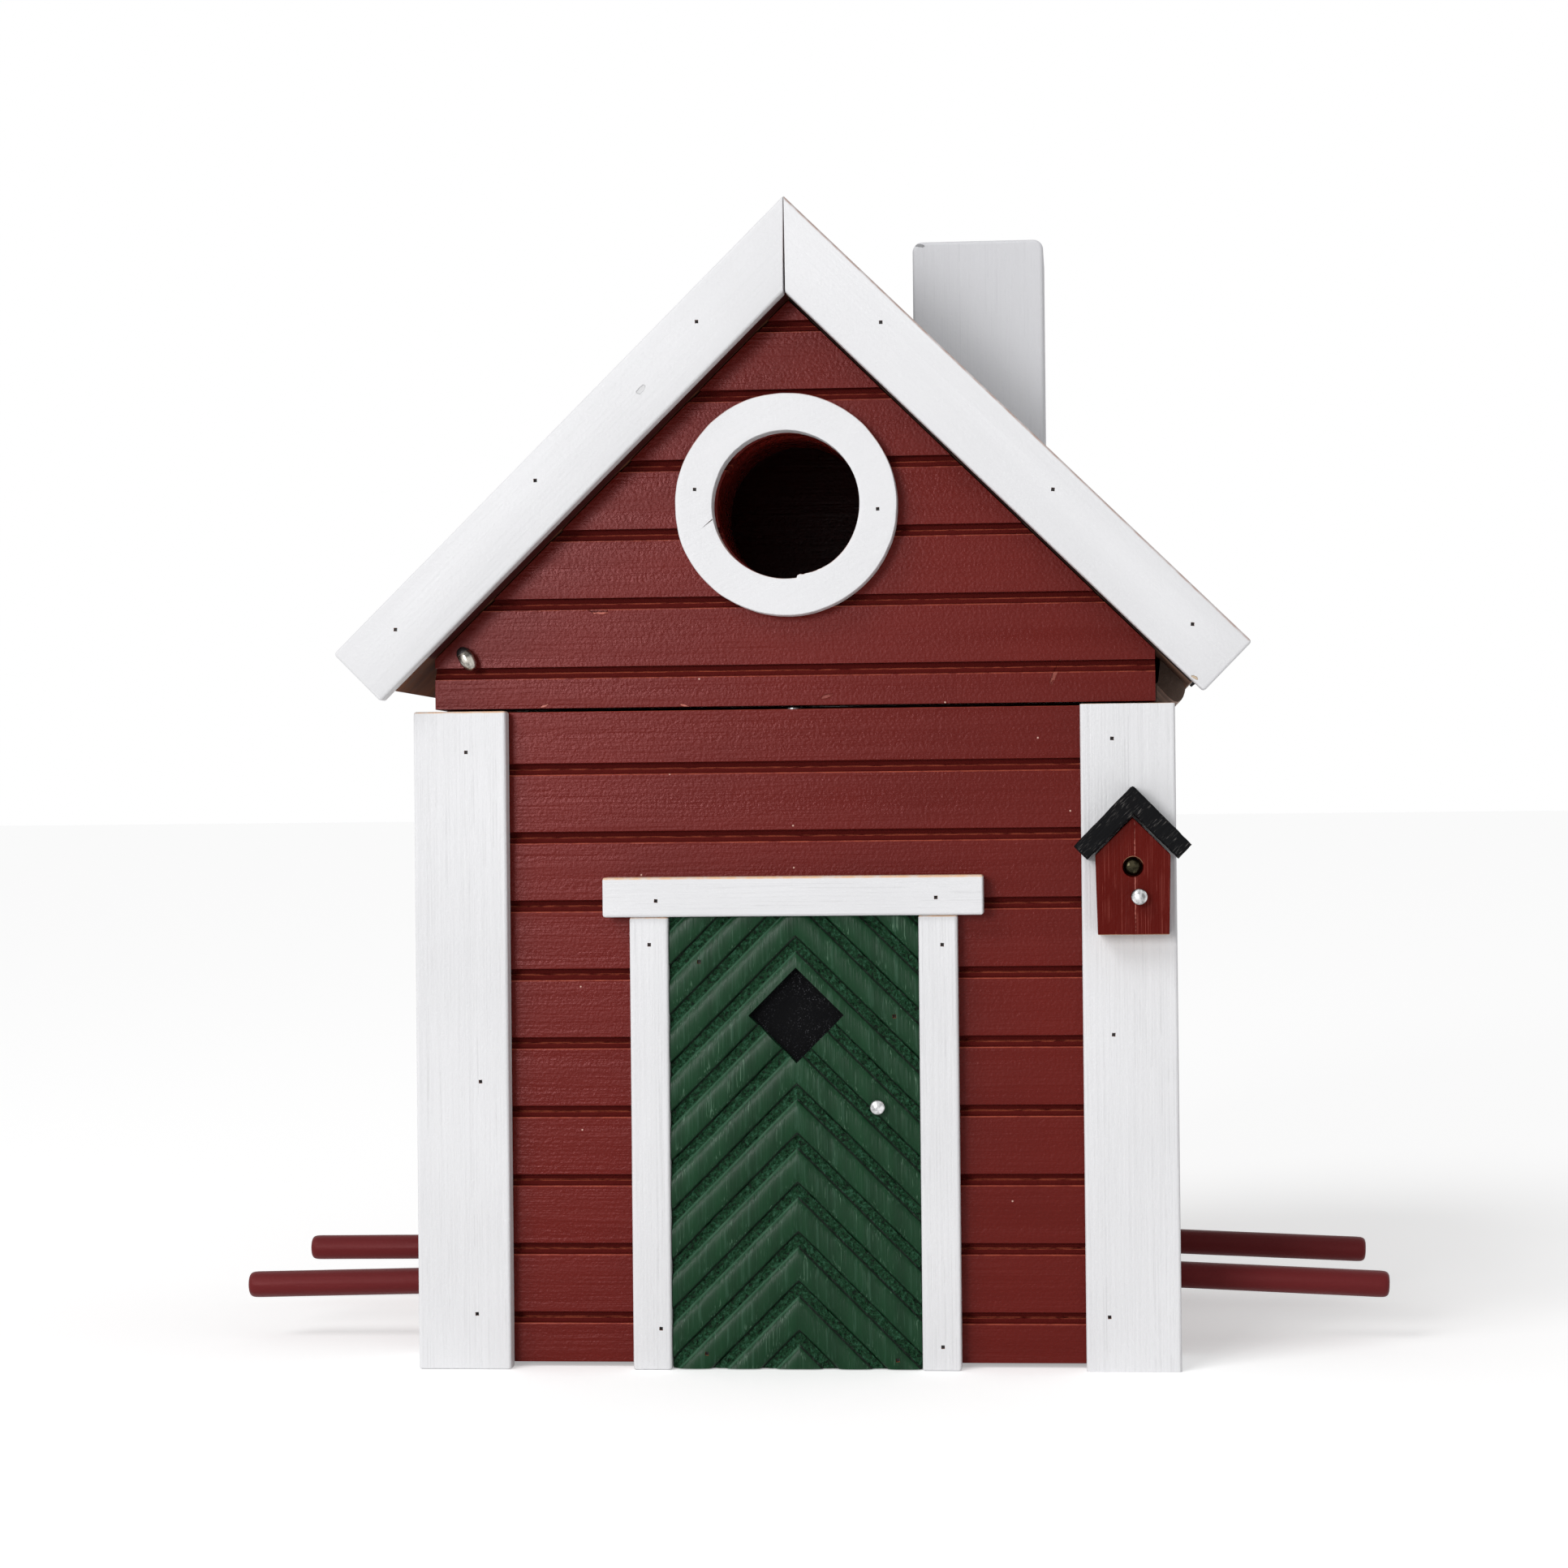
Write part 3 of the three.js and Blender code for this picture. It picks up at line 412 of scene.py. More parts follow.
def door_paint():
    """Green paint with upright grain, thick and chippy in the grooves; painted shade lines and a painted
    highlight line at their edges.
    """
    finish = Finish("door_paint", Specular_IOR_Level=0.15)
    upright = finish.turned("z")
    fibres = finish.noise((30, 1700, 1700), 4, 0.6, upright)
    wide = finish.noise((12, 300, 300), 3, 0.5, upright)
    x = finish.calc("ABSOLUTE", finish.calc("SUBTRACT", finish.axis("X"), FOLD * MM))
    across = finish.times(finish.calc("ADD", finish.axis("Z"), x), SLOPE)
    beyond = finish.calc("SUBTRACT", across, PEAK * MM)
    apart = finish.calc("PINGPONG", beyond, PLANK_PITCH / 2 * MM)
    groove = finish.band(apart, 1.25 * MM, 0.95 * MM)
    chips = finish.noise(1500, 3, 0.65)
    crumbs = finish.noise(3400, 2, 0.5)
    plank = finish.calc("ADD", finish.times(fibres, 0.1), finish.times(wide, 0.1))
    rough = finish.calc("ADD", finish.times(chips, 0.55), finish.times(crumbs, 0.25))
    height = finish.mix(groove, plank, rough)
    shade = finish.mix(finish.band(wide, 0.35, 0.65), tint(GREEN, 0.85), tint(GREEN, 1.2))
    brushed = finish.times(finish.band(fibres, 0.54, 0.7), 0.6)
    shade = finish.mix(brushed, shade, (0.03, 0.08, 0.047, 1))
    thin = finish.band(finish.noise((26, 4600, 4600), 2, 0.5, upright), 0.6, 0.68)
    broken = finish.band(finish.noise((110, 420, 420), 2, 0.5, upright), 0.5, 0.6)
    scratch = finish.times(finish.times(thin, broken), 0.75)
    shade = finish.mix(scratch, shade, (0.09, 0.17, 0.11, 1))
    flecks = finish.times(finish.band(chips, 0.52, 0.64), 0.8)
    deep = finish.mix(flecks, tint(GREEN, 1.15), (0.03, 0.105, 0.058, 1))
    deep = finish.mix(finish.band(chips, 0.46, 0.36), deep, tint(GREEN, 0.18))
    shade = finish.mix(groove, shade, deep)
    phase = finish.calc("WRAP", beyond, PLANK_PITCH / 2 * MM, -PLANK_PITCH / 2 * MM)
    right = finish.band(finish.axis("X"), (FOLD - 0.2) * MM, (FOLD + 0.2) * MM)
    left = finish.calc("SUBTRACT", 1.0, right)
    # Painted shade: dark lines at the grooves' upper edges, and on the right arm at their lower edges too;
    # painted highlight: a pale line below the grooves on the left arm.
    for edge, strength, painted_light_colour in (
        (1.14, 0.95, tint(GREEN, 0.12)),
        (-1.14, finish.times(right, 0.95), tint(GREEN, 0.12)),
        (-1.3, finish.times(left, 0.7), (0.04, 0.115, 0.065, 1)),
    ):
        away = finish.calc("ABSOLUTE", finish.calc("SUBTRACT", phase, edge * MM))
        painted_light_line = finish.times(finish.band(away, 0.26 * MM, 0.1 * MM), strength)
        shade = finish.mix(painted_light_line, shade, painted_light_colour)
    roughness = finish.band(groove, 0, 1, 0.3, 0.45)
    return finish.done(shade, roughness, finish.bump(height, 0.0012))


def stained(name, color, along, painted_shade=None):
    """Thin stain on rough wood, blotchy where it soaked in.

    A painted shade is a dark colour laid over all in front of a depth and to the right of a place, in
    millimetres, where the wood lies in shade.
    """
    finish = Finish(name, Specular_IOR_Level=0.2)
    run = finish.turned(along)
    fibres = finish.noise((30, 1200, 1200), 5, 0.6, run)
    blots = finish.noise(70, 4, 0.6)
    streaks = finish.noise((8, 160, 160), 4, 0.6, run)
    shade = finish.mix(finish.band(blots, 0.35, 0.65), tint(color, 0.55), tint(color, 1.35))
    shade = finish.mix(finish.band(streaks, 0.4, 0.7, 0, 0.6), shade, tint(color, 0.4))
    # Painted shade: a dark colour in front of a depth and to the right of a place.
    if painted_shade:
        shade_colour, depth, right_of = painted_shade
        ahead = finish.band(finish.axis("Y"), depth * MM, (depth - 0.5) * MM)
        beside = finish.band(finish.axis("X"), right_of * MM, (right_of + 0.5) * MM)
        shade = finish.mix(finish.times(ahead, beside), shade, tint(shade_colour, 1))
    height = finish.calc("ADD", fibres, finish.times(streaks, 0.7))
    return finish.done(shade, finish.band(blots, 0.3, 0.7, 0.6, 0.85), finish.bump(height, 0.00018))


def felted(name, color, speck, grain, density=0.6):
    """Mineral felt: dark with pale specks."""
    finish = Finish(name, Specular_IOR_Level=0.15)
    granules = finish.noise(grain, 3, 0.7)
    patches = finish.noise(45, 3)
    crowd = finish.band(finish.noise(160, 3), 0.35, 0.65)
    specks = finish.band(finish.noise(grain * 1.6, 2), density, density + 0.1)
    shade = finish.mix(finish.band(patches, 0.3, 0.7), tint(color, 0.7), tint(color, 1.3))
    shade = finish.mix(finish.times(specks, crowd), shade, tint(speck, 1))
    return finish.done(shade, 0.95, finish.bump(granules, 0.0003))


def steel(name, bright=0.8, dull=0.22, roughness=0.14, hue=(1, 1, 1.01)):
    """Plated steel, scuffed and dulled in patches."""
    finish = Finish(name, Metallic=1.0)
    haze = finish.noise(620, 4, 0.6)
    shade = finish.mix(finish.band(haze, 0.42, 0.66), tint(hue, bright), tint(hue, dull))
    dulled = finish.band(haze, 0.3, 0.8, roughness, roughness + 0.2)
    return finish.done(shade, dulled, finish.bump(haze, 0.00004))


def dress(material, *names):
    """Gives a finish to CAD nodes."""
    for name in names:
        slots = nodes[name].data.materials
        slots.clear()
        slots.append(material)


def soften(width, *names, segments=2):
    """Rounds the edges of CAD nodes, after their flat faces are joined up."""
    for name in names:
        node = nodes[name]
        weld = node.modifiers.new("weld", "WELD")
        weld.merge_threshold = 0.00001
        flat = node.modifiers.new("flat", "DECIMATE")
        flat.decimate_type = "DISSOLVE"
        flat.angle_limit = math.radians(1)
        bevel = node.modifiers.new("bevel", "BEVEL")
        bevel.width = width
        bevel.segments = segments
        bevel.limit_method = "ANGLE"
        bevel.angle_limit = math.radians(25)
        bevel.use_clamp_overlap = True
        bevel.harden_normals = True
        node.data.shade_smooth()


# Pieces

def body_of(name):
    return nodes[name]["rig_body"]


def mesh_of(name, points, faces):
    """A new mesh from points in millimetres."""
    mesh = bpy.data.meshes.new(name)
    mesh.from_pydata([[MM * value for value in point] for point in points], [], faces)
    return mesh


def piece(name, points, faces, material, body, stands_for=(), smooth=35):
    """A new mesh, given in millimetres, that rides on a body and may stand for CAD nodes."""
    mesh = mesh_of(name, points, faces)
    mesh.materials.append(material)
    mesh.shade_smooth()
    mesh.set_sharp_from_angle(angle=math.radians(smooth))
    made = placed(name, mesh)
    if body:
        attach(made, body)
    if stands_for:
        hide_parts(*stands_for)
    return made


def walls(layers, count, first=0, looped=False):
    """Faces between layers of points, each a ring of so many points, from a first point on."""
    faces = []
    for layer in range(layers if looped else layers - 1):
        here, there = first + layer * count, first + (layer + 1) % layers * count
        for step in range(count):
            after = (step + 1) % count
            faces.append((here + step, here + after, there + after, there + step))
    return faces


def closed(layers, count, first=0):
    """The faces of walls and of both their ends."""
    last = first + (layers - 1) * count
    ends = [tuple(range(first, first + count))[::-1], tuple(range(last, last + count))]
    return walls(layers, count, first) + ends


def swept(path, radii, segments):
    """Points and faces of a round rod along a path, closed at both ends."""
    path = [Vector(point) for point in path]
    ways = [(path[min(i + 1, len(path) - 1)] - path[max(i - 1, 0)]).normalized() for i in range(len(path))]
    side = ways[0].orthogonal().normalized()
    points = []
    for point, way, radius in zip(path, ways, radii):
        side = (side - way * side.dot(way)).normalized()
        other = way.cross(side)
        for step in range(segments):
            turn = 2 * math.pi * step / segments
            points.append(point + radius * (math.cos(turn) * side + math.sin(turn) * other))
    return points, closed(len(path), segments)


def face_out(made):
    """Turns all faces of a piece outwards."""
    shape = bmesh.new()
    shape.from_mesh(made.data)
    bmesh.ops.recalc_face_normals(shape, faces=shape.faces[:])
    shape.to_mesh(made.data)
    shape.free()


def cut_from(made, cutter):
    """Lets a cutter cut into a piece."""
    cut = made.modifiers.new("cut", "BOOLEAN")
    cut.operation = "DIFFERENCE"
    cut.solver = "EXACT"
    cut.object = cutter
    return cut


def settled(made, *cutters):
    """Makes a piece's modifiers and the cutters' cuts final, then removes the cutters."""
    for cutter in cutters:
        cut_from(made, cutter)
    bpy.context.view_layer.update()
    shape = bpy.data.meshes.new_from_object(made.evaluated_get(bpy.context.evaluated_depsgraph_get()))
    made.modifiers.clear()
    made.data = shape
    for cutter in cutters:
        bpy.data.objects.remove(cutter)


def block(name, outline, near, far):
    """A prism whose outline is drawn in X and Z, from one Y to another, in millimetres."""
    count = len(outline)
    points = [(x, near, z) for x, z in outline] + [(x, far, z) for x, z in outline]
    faces = [tuple(range(count)), tuple(range(2 * count - 1, count - 1, -1))]
    faces += [(i, i + count, (i + 1) % count + count, (i + 1) % count) for i in range(count)]
    return placed(name, mesh_of(name, points, faces))


def corners(name):
    """A node's lowest and highest corners in millimetres."""
    low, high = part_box(name)
    return low / MM, high / MM


def wander(x, y, z, size, seed=0.0):
    """Smooth noise from -1 to 1 whose bumps are about a size across, in millimetres."""
    return field.noise(Vector((x / size + seed, y / size, z / size)))


# Door: hand-carved grooves in chevrons, with rough bottoms and rounded planks between

PLANK_PITCH = 7.52
PEAK = 65.03
FOLD = 0.45
SLOPE = math.sqrt(0.5)
DOOR_COLUMNS = 137

# Across one plank and groove: place from the groove's middle, depth, and how rough it is there
GROOVE_SECTION = [
    (3.76, 0.0, 0.0),
    (3.0, 0.03, 0.0),
    (2.4, 0.1, 0.0),
    (1.95, 0.21, 0.0),
    (1.6, 0.36, 0.05),
    (1.32, 0.6, 0.1),
    (1.16, 0.9, 0.2),
    (1.06, 1.28, 0.5),
    (0.78, 1.38, 1.0),
    (0.5, 1.36, 1.0),
    (0.22, 1.33, 1.0),
    (-0.06, 1.3, 1.0),
    (-0.34, 1.27, 1.0),
    (-0.62, 1.23, 1.0),
    (-0.9, 1.15, 0.8),
    (-1.1, 0.92, 0.4),
    (-1.24, 0.62, 0.2),
    (-1.5, 0.36, 0.1),
    (-1.9, 0.2, 0.0),
    (-2.4, 0.09, 0.0),
    (-3.0, 0.03, 0.0),
]


def carved_door():
    low, high = corners("door_panel")
    edge = 0.12
    left, right = low.x + edge, high.x - edge
    columns = [left + (right - left) * i / (DOOR_COLUMNS - 1) for i in range(DOOR_COLUMNS)]
    nearest = min(range(DOOR_COLUMNS), key=lambda i: abs(columns[i] - FOLD))
    columns[nearest] = FOLD
    rows = []
    for groove in range(5, -11, -1):
        rows += [(PEAK + groove * PLANK_PITCH, *share) for share in GROOVE_SECTION]
    points = []
    for middle, offset, depth, rough in rows:
        upper = offset > 0
        for x in columns:
            arm = math.hypot(x - FOLD, 0.5 if upper else 0.12)
            side = 1 if x > FOLD else -1
            lean = 1.0 if abs(offset) < 2 else 0.0
            shift = lean * (0.13 * wander(x, middle, side, 5) + 0.05 * wander(x, middle, side + 9, 1.2))
            z = (middle + offset + shift) / SLOPE - arm
            chips = 0.5 * wander(x, offset, z, 0.85) + 0.3 * wander(x, offset, z + 40, 0.45)
            sway = 0.07 * wander(x, 0, z / 4, 3, 7)
            y = low.y + depth + rough * chips + sway + 0.07
            points.append((x, max(y, low.y), z))
    wide = DOOR_COLUMNS
    back = len(points)
    points += [(x, high.y, z) for x, y, z in points]
    faces = []
    tall = len(rows)
    for row in range(tall - 1):
        for column in range(wide - 1):
            here = row * wide + column
            faces.append((here, here + wide, here + wide + 1, here + 1))
            faces.append(tuple(back + i for i in (here, here + 1, here + wide + 1, here + wide)))
    for row in range(tall - 1):
        for column in (0, wide - 1):
            here = row * wide + column
            wall = (here, back + here, back + here + wide, here + wide)
            faces.append(wall if column == 0 else wall[::-1])
    for row in (0, tall - 1):
        for column in range(wide - 1):
            here = row * wide + column
            wall = (here, here + 1, back + here + 1, back + here)
            faces.append(wall if row == 0 else wall[::-1])
    bm = bmesh.new()
    for point in points:
        bm.verts.new(point)
    bm.verts.ensure_lookup_table()
    for face in faces:
        bm.faces.new([bm.verts[i] for i in face])
    for height, up in ((low.z, -1), (high.z - edge, 1)):
        geometry = bm.verts[:] + bm.edges[:] + bm.faces[:]
        cut = bmesh.ops.bisect_plane(
            bm, geom=geometry, dist=1e-5, plane_co=(0, 0, height), plane_no=(0, 0, up), clear_outer=True
        )
        rim = [item for item in cut["geom_cut"] if isinstance(item, bmesh.types.BMEdge)]
        bmesh.ops.holes_fill(bm, edges=rim, sides=0)
    bmesh.ops.recalc_face_normals(bm, faces=bm.faces[:])
    bm.verts.index_update()
    points = [tuple(vertex.co) for vertex in bm.verts]
    faces = [[vertex.index for vertex in face.verts] for face in bm.faces]
    bm.free()
    door = piece("carved_door", points, faces, materials["door"], None, smooth=50)
    reach, height = 10.35, 76.5
    window = [(FOLD, height - reach), (FOLD + reach, height), (FOLD, height + reach), (FOLD - reach, height)]
    settled(door, block("window_cut", window, low.y - 2, high.y + 1))
    door.data.set_sharp_from_angle(angle=math.radians(50))
    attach(door, "house")
    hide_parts("door_panel")
    return door


# Entrance ring: sawn by hand, so its outline wanders; a burr at the bottom of the hole and a small crack

def entrance_ring():
    low, high = corners("entrance_ring")
    middle_x, middle_z = -0.62, (low.z + high.z) / 2 + 0.15
    outer, inner = (high.z - low.z) / 2, 16.0
    section = [
        ("outer", 0.0, 0.0),
        ("outer", 0.0, 0.94),
        ("outer", -0.05, 0.976),
        ("outer", -0.16, 0.996),
        ("outer", -0.3, 1.0),
        ("outer", -1.4, 1.0),
        ("middle", 0.0, 1.0),
        ("inner", 1.2, 1.0),
        ("inner", 0.24, 1.0),
        ("inner", 0.12, 0.996),
        ("inner", 0.04, 0.98),
        ("inner", 0.0, 0.95),
        ("inner", 0.0, 0.0),
    ]
    steps = 360
    burr_from, burr_to = 278, 306
    points = []
    for step in range(steps):
        turn = 2 * math.pi * step / steps
        across, up = math.cos(turn), math.sin(turn)
        degrees = math.degrees(turn)
        saw = 0.17 * wander(across * 24, 0, up * 24, 9) + 0.05 * wander(across * 24, 5, up * 24, 2.2)
        outside = outer - 0.16 + saw
        inside = inner + 0.1 * wander(across * 16, 11, up * 16, 7)
        if burr_from < degrees < burr_to:
            torn = (burr_to - degrees) / (burr_to - burr_from)
            inside -= torn * (0.62 + 0.2 * wander(degrees, 0, 0, 2.5))
        inside -= 0.08 * max(0, wander(across * 16, 17, up * 16, 1.3)) if up > 0.2 else 0
        for rim, out, share in section:
            radius = {"outer": outside, "middle": (outside + inside) / 2, "inner": inside}[rim] + out
            y = high.y + (low.y + 0.05 - high.y) * share
            if rim == "middle":
                y += 0.04 * wander(across * 20, 3, up * 20, 6)
            points.append((middle_x + radius * across, y, middle_z + radius * up))
    faces = walls(steps, len(section), looped=True)
    ring = piece("hand_sawn_ring", points, faces, materials["ring"], None)
    crack = block("crack_cut", [(-16.4, 183.75), (-16.6, 184.0), (-18.9, 181.9)], low.y - 1, low.y + 0.9)
    settled(ring, crack)
    face_out(ring)
    ring.data.set_sharp_from_angle(angle=math.radians(35))
    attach(ring, "lid")
    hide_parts("entrance_ring")
    return ring


# Turned pieces: dowels, knob, ball, screw and pin

def perch(name):
    """A dowel along its node's axis, with hand-rounded ends."""
    places = np.array([vertex.co for vertex in nodes[name].data.vertices]) / MM
    reach = np.ptp(places[:, 0])
    near = places[places[:, 0] < places[:, 0].min() + 0.02 * reach].mean(0)
    far = places[places[:, 0] > places[:, 0].max() - 0.02 * reach].mean(0)
    low, high = corners(name)
    near = Vector((low.x, *(near + (far - near) * (low.x - near[0]) / (far[0] - near[0]))[1:]))
    far = Vector((high.x, *(near + (Vector(far) - near) * (high.x - near.x) / (far[0] - near.x))[1:]))
    radius = 2.98
    stations = [0, 0.12, 0.35, 0.7, 1.2, 1.9, 2.8]
    sizes = [0.62, 0.76, 0.87, 0.94, 0.98, 0.995, 1.0]
    length = (far - near).length
    rounding = stations[-1]
    middle = [rounding + (length - 2 * rounding) * i / 30 for i in range(1, 30)]
    along = stations + middle + [length - station for station in reversed(stations)]
    shares = sizes + [1.0] * len(middle) + sizes[::-1]
    path = [near + (far - near) * (station / length) for station in along]
    radii = [
        radius * share * (1 + 0.008 * wander(point.x, point.y, 0, 11)) for share, point in zip(shares, path)
    ]
    points, faces = swept(path, radii, 48)
    piece("dowel_" + name, points, faces, materials["dowel"], "house", [name])


def ball_on_pin(name, node, material):
    """A polished ball, a little flat, on a short shank which points to the front."""
    low, high = corners(node)
    middle = (low + high) / 2
    radius = (high.x - low.x) / 2
    deep = 0.62 * radius
    front = low.y + deep
    path, radii = [], []
    for step in range(1, 25):
        turn = math.pi * step / 28
        path.append((middle.x, front - deep * math.cos(turn), middle.z))
        radii.append(radius * math.sin(turn))
    shank = radii[-1]
    for place in (front + deep + 0.1, high.y):
        path.append((middle.x, place, middle.z))
        radii.append(min(shank, 0.45 * radius))
    points, faces = swept(path, radii, 48)
    piece(name, points, faces, material, body_of(node), [node], smooth=60)


def cross_screw():
    """The mini house's screw: a pan head with a cross recess."""
    low, high = corners("mini_house_screw")
    middle = (low + high) / 2
    radius = (high.x - low.x) / 2
    profile = [(0.0, 0.35), (0.04, 0.62), (0.14, 0.84), (0.32, 0.97), (0.5, 1.0), (0.95, 1.0), (1.05, 0.6)]
    path = [(middle.x, low.y + 1.4 * place, middle.z) for place, share in profile]
    path.append((middle.x, high.y, middle.z))
    radii = [radius * share for place, share in profile] + [0.5 * radius]
    points, faces = swept(path, radii, 40)
    screw = piece("cross_screw", points, faces, materials["brass"], None, smooth=50)
    cutters = []
    for turn in (0.35, 0.35 + math.pi / 2):
        along = Vector((math.cos(turn), math.sin(turn))) * 0.72 * radius
        across = Vector((-math.sin(turn), math.cos(turn))) * 0.24 * radius
        outline = [along + across, across - along, -along - across, along - across]
        outline = [(middle.x + point.x, middle.z + point.y) for point in outline]
        cutters.append(block("recess", outline, low.y - 1, low.y + 0.75))
    settled(screw, *cutters)
    screw.data.set_sharp_from_angle(angle=math.radians(50))
    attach(screw, "house")
    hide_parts("mini_house_screw")


def lock_pin():
    """The lock pin: a straight shaft, and across it an oval head that leans right, with a dark cap of painted
    reflection and shade.
    """
    low, high = corners("lock_pin")
    middle = Vector(((low.x + high.x) / 2, 0, (low.z + high.z) / 2))
    front = low.y + 1.66
    half_long, half_wide = 2.95, 1.72
    tilt = math.radians(33)
    lean = Vector((math.sin(tilt), 0, -math.cos(tilt)))
    head = middle + Vector((0, front, 0))
    for name, begin, finish, girth, material in (
        ("lock_pin_head", -1.0, 1.0, 1.0, "pin_steel"),
        # A dark cap over the head's upper end: painted reflection and shade.
        ("lock_pin_painted_reflection_cap", -1.0, -0.5, 1.09, "pin_cap_painted_reflection"),
    ):
        path, radii = [], []
        for step in range(1, 24):
            share = begin + (finish - begin) * step / 24
            path.append(head + lean * half_long * share)
            rounded = 1 - share * share * (0.98 if girth > 1 else 1.0)
            radii.append(half_wide * girth * math.sqrt(max(rounded, 0.0001)))
        points, faces = swept(path, radii, 40)
        stands_for = ["lock_pin"] if name == "lock_pin_head" else []
        piece(name, points, faces, materials[material], "pin", stands_for, smooth=60)
    path = [middle + Vector((0, y, 0)) for y in (front + 0.6, high.y - 0.9, high.y - 0.3, high.y)]
    points, faces = swept(path, [1.2, 1.2, 0.9, 0.5], 32)
    piece("lock_pin_shaft", points, faces, materials["pin_steel"], "pin")


# Nails: small diamond holes that flare through the paint, with the sunk heads in them

def nail_mesh(places, half, front, back, flare):
    """Diamonds at places, from a height above each face to a depth below it."""
    points, faces = [], []
    for place, normal in places:
        place, normal = Vector(place), Vector(normal)
        side = normal.cross(Vector((0, 0, 1))).normalized()
        up = side.cross(normal)
        turn = math.radians(45 + 14 * wander(place.x, place.z, 0, 17))
        first = len(points)
        sizes = ((front, half + flare), (0.0, half + flare * 0.7), (-0.3, half), (back, half * 0.9))
        for depth, size in sizes:
            if front <= 0 and depth == 0.0:
                continue
            for corner in range(4):
                angle = turn + math.pi / 2 * corner
                way = math.cos(angle) * side + math.sin(angle) * up
                points.append(place + normal * depth + size * way)
        faces += closed((len(points) - first) // 4, 4, first)
    return points, faces


def nailed(carrier, places, normal):
    """Drills a board, which is a CAD node or a new piece, and sets the heads in the holes."""
    places = [(place, normal) for place in places]
    body = carrier["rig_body"]
    points, faces = nail_mesh(places, half=0.46, front=0.4, back=-1.5, flare=0.12)
    drill = placed("drill_" + carrier.name, mesh_of("drill", points, faces))
    drill.data.materials.append(materials["bare"])
    face_out(drill)
    drill.hide_render = True
    drill.display_type = "WIRE"
    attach(drill, body)
    cut_from(carrier, drill).material_mode = "TRANSFER"
    points, faces = nail_mesh(places, half=0.44, front=-0.55, back=-1.4, flare=0.0)
    piece("nails_" + carrier.name, points, faces, materials["nail"], body)


def bargeboard(name):
    """A white board with softly broken edges and a crisp mitre."""
    shape = bmesh.new()
    shape.from_mesh(nodes[name].data)
    bmesh.ops.remove_doubles(shape, verts=shape.verts[:], dist=0.00001)
    bmesh.ops.dissolve_limit(shape, angle_limit=math.radians(1), verts=shape.verts[:], edges=shape.edges[:])
    weights = shape.edges.layers.float.new("bevel_weight_edge")
    for edge in shape.edges:
        at_mitre = all(abs(vertex.co.x) < 0.0015 for vertex in edge.verts)
        if len(edge.link_faces) == 2 and edge.calc_face_angle(0) > math.radians(25):
            edge[weights] = 0.25 if at_mitre else 1.0
    mesh = bpy.data.meshes.new("painted_" + name)
    shape.to_mesh(mesh)
    shape.free()
    mesh.materials.append(materials[name])
    mesh.shade_smooth()
    board = placed("painted_" + name, mesh)
    bevel = board.modifiers.new("bevel", "BEVEL")
    bevel.width = 0.0007
    bevel.segments = 3
    bevel.limit_method = "WEIGHT"
    bevel.harden_normals = True
    settled(board)
    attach(board, "lid")
    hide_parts(name)
    return board


def mini_roof():
    """The little birdhouse's roof, cut by hand: its edges waver, and thick paint hides the ridge's joint."""
    near, far = (corner.y for corner in corners("mini_roof_left"))
    outline = [(63.4, 109.5), (73.35, 119.1), (82.65, 109.65), (85.65, 112.7), (73.6, 125.1), (73.15, 125.25)]
    outline += [(72.7, 125.05), (60.45, 112.55)]
    rim = []
    for here, after in zip(outline, outline[1:] + outline[:1]):
        here, after = Vector(here), Vector(after)
        steps = max(1, round((after - here).length / 0.6))
        rim += [here.lerp(after, step / steps) for step in range(steps)]
    count = len(rim)
    points = []
    for place, inset in ((near + 0.05, 0.4), (near + 0.14, 0.16), (near + 0.4, 0.0), (far, 0.0)):
        for i, point in enumerate(rim):
            way = (rim[(i + 1) % count] - rim[i - 1]).normalized()
            inward = Vector((-way.y, way.x))
            moved = point + inward * (inset + 0.1 + 0.1 * wander(point.x, 0, point.y, 1.6))
            points.append((moved.x, place + 0.05 * wander(point.x, 9, point.y, 1.2), moved.y))
    faces = [tuple(range(count)), tuple(range(3 * count, 4 * count))] + walls(4, count)
    black, stood_for = materials["black"], ["mini_roof_left", "mini_roof_right"]
    face_out(piece("hand_cut_mini_roof", points, faces, black, "house", stood_for))


def felt_cover():
    """Roofing felt pressed over both slopes, whose edge is folded down over part of the boards' ends."""
    low, high = corners("roof_cover")
    board_high = corners("roof_board_right")[1]
    cosine, sine = math.cos(ROOF_PITCH), math.sin(ROOF_PITCH)
    reach = (board_high.x - ROOF_BOARD * sine) / cosine
    apex = board_high.z - ROOF_BOARD / cosine
    slant = math.tan(ROOF_PITCH)
    outer = [(-13.3 * slant, 13.3)] + [(-11.5 + (reach + 11.5) * step / 24, 13.5) for step in range(24)]
    outer += [(reach + 0.5, 13.45), (reach + 1.15, 13.1), (reach + 1.4, 12.3), (reach + 1.3, 10.5)]
    outer += [(reach + 1.05, 8.5), (reach + 0.85, 7.0), (reach + 0.7, 5.9)]
    inner = [(reach + 0.05, 5.9), (reach + 0.05, 12.05), (-12.05 * slant, 12.05)]
    half = [(*place, 1.0) for place in outer] + [(*place, 0.0) for place in inner]
    section = [(1, *place) for place in half] + [(-1, *place) for place in half[-2:0:-1]]
    steps = 60
    points = []
    for step in range(steps + 1):
        y = low.y + 0.05 + (high.y - low.y - 0.05) * step / steps
        for side, along, normal, free in section:
            normal -= free * 0.12 * max(0, wander(side * along, y, 0, 19))
            x = side * (along * cosine + normal * sine)
            points.append((x, y, apex - along * sine + normal * cosine))
    faces = closed(steps + 1, len(section))
    face_out(piece("folded_felt", points, faces, materials["felt"], "lid", ["roof_cover"]))


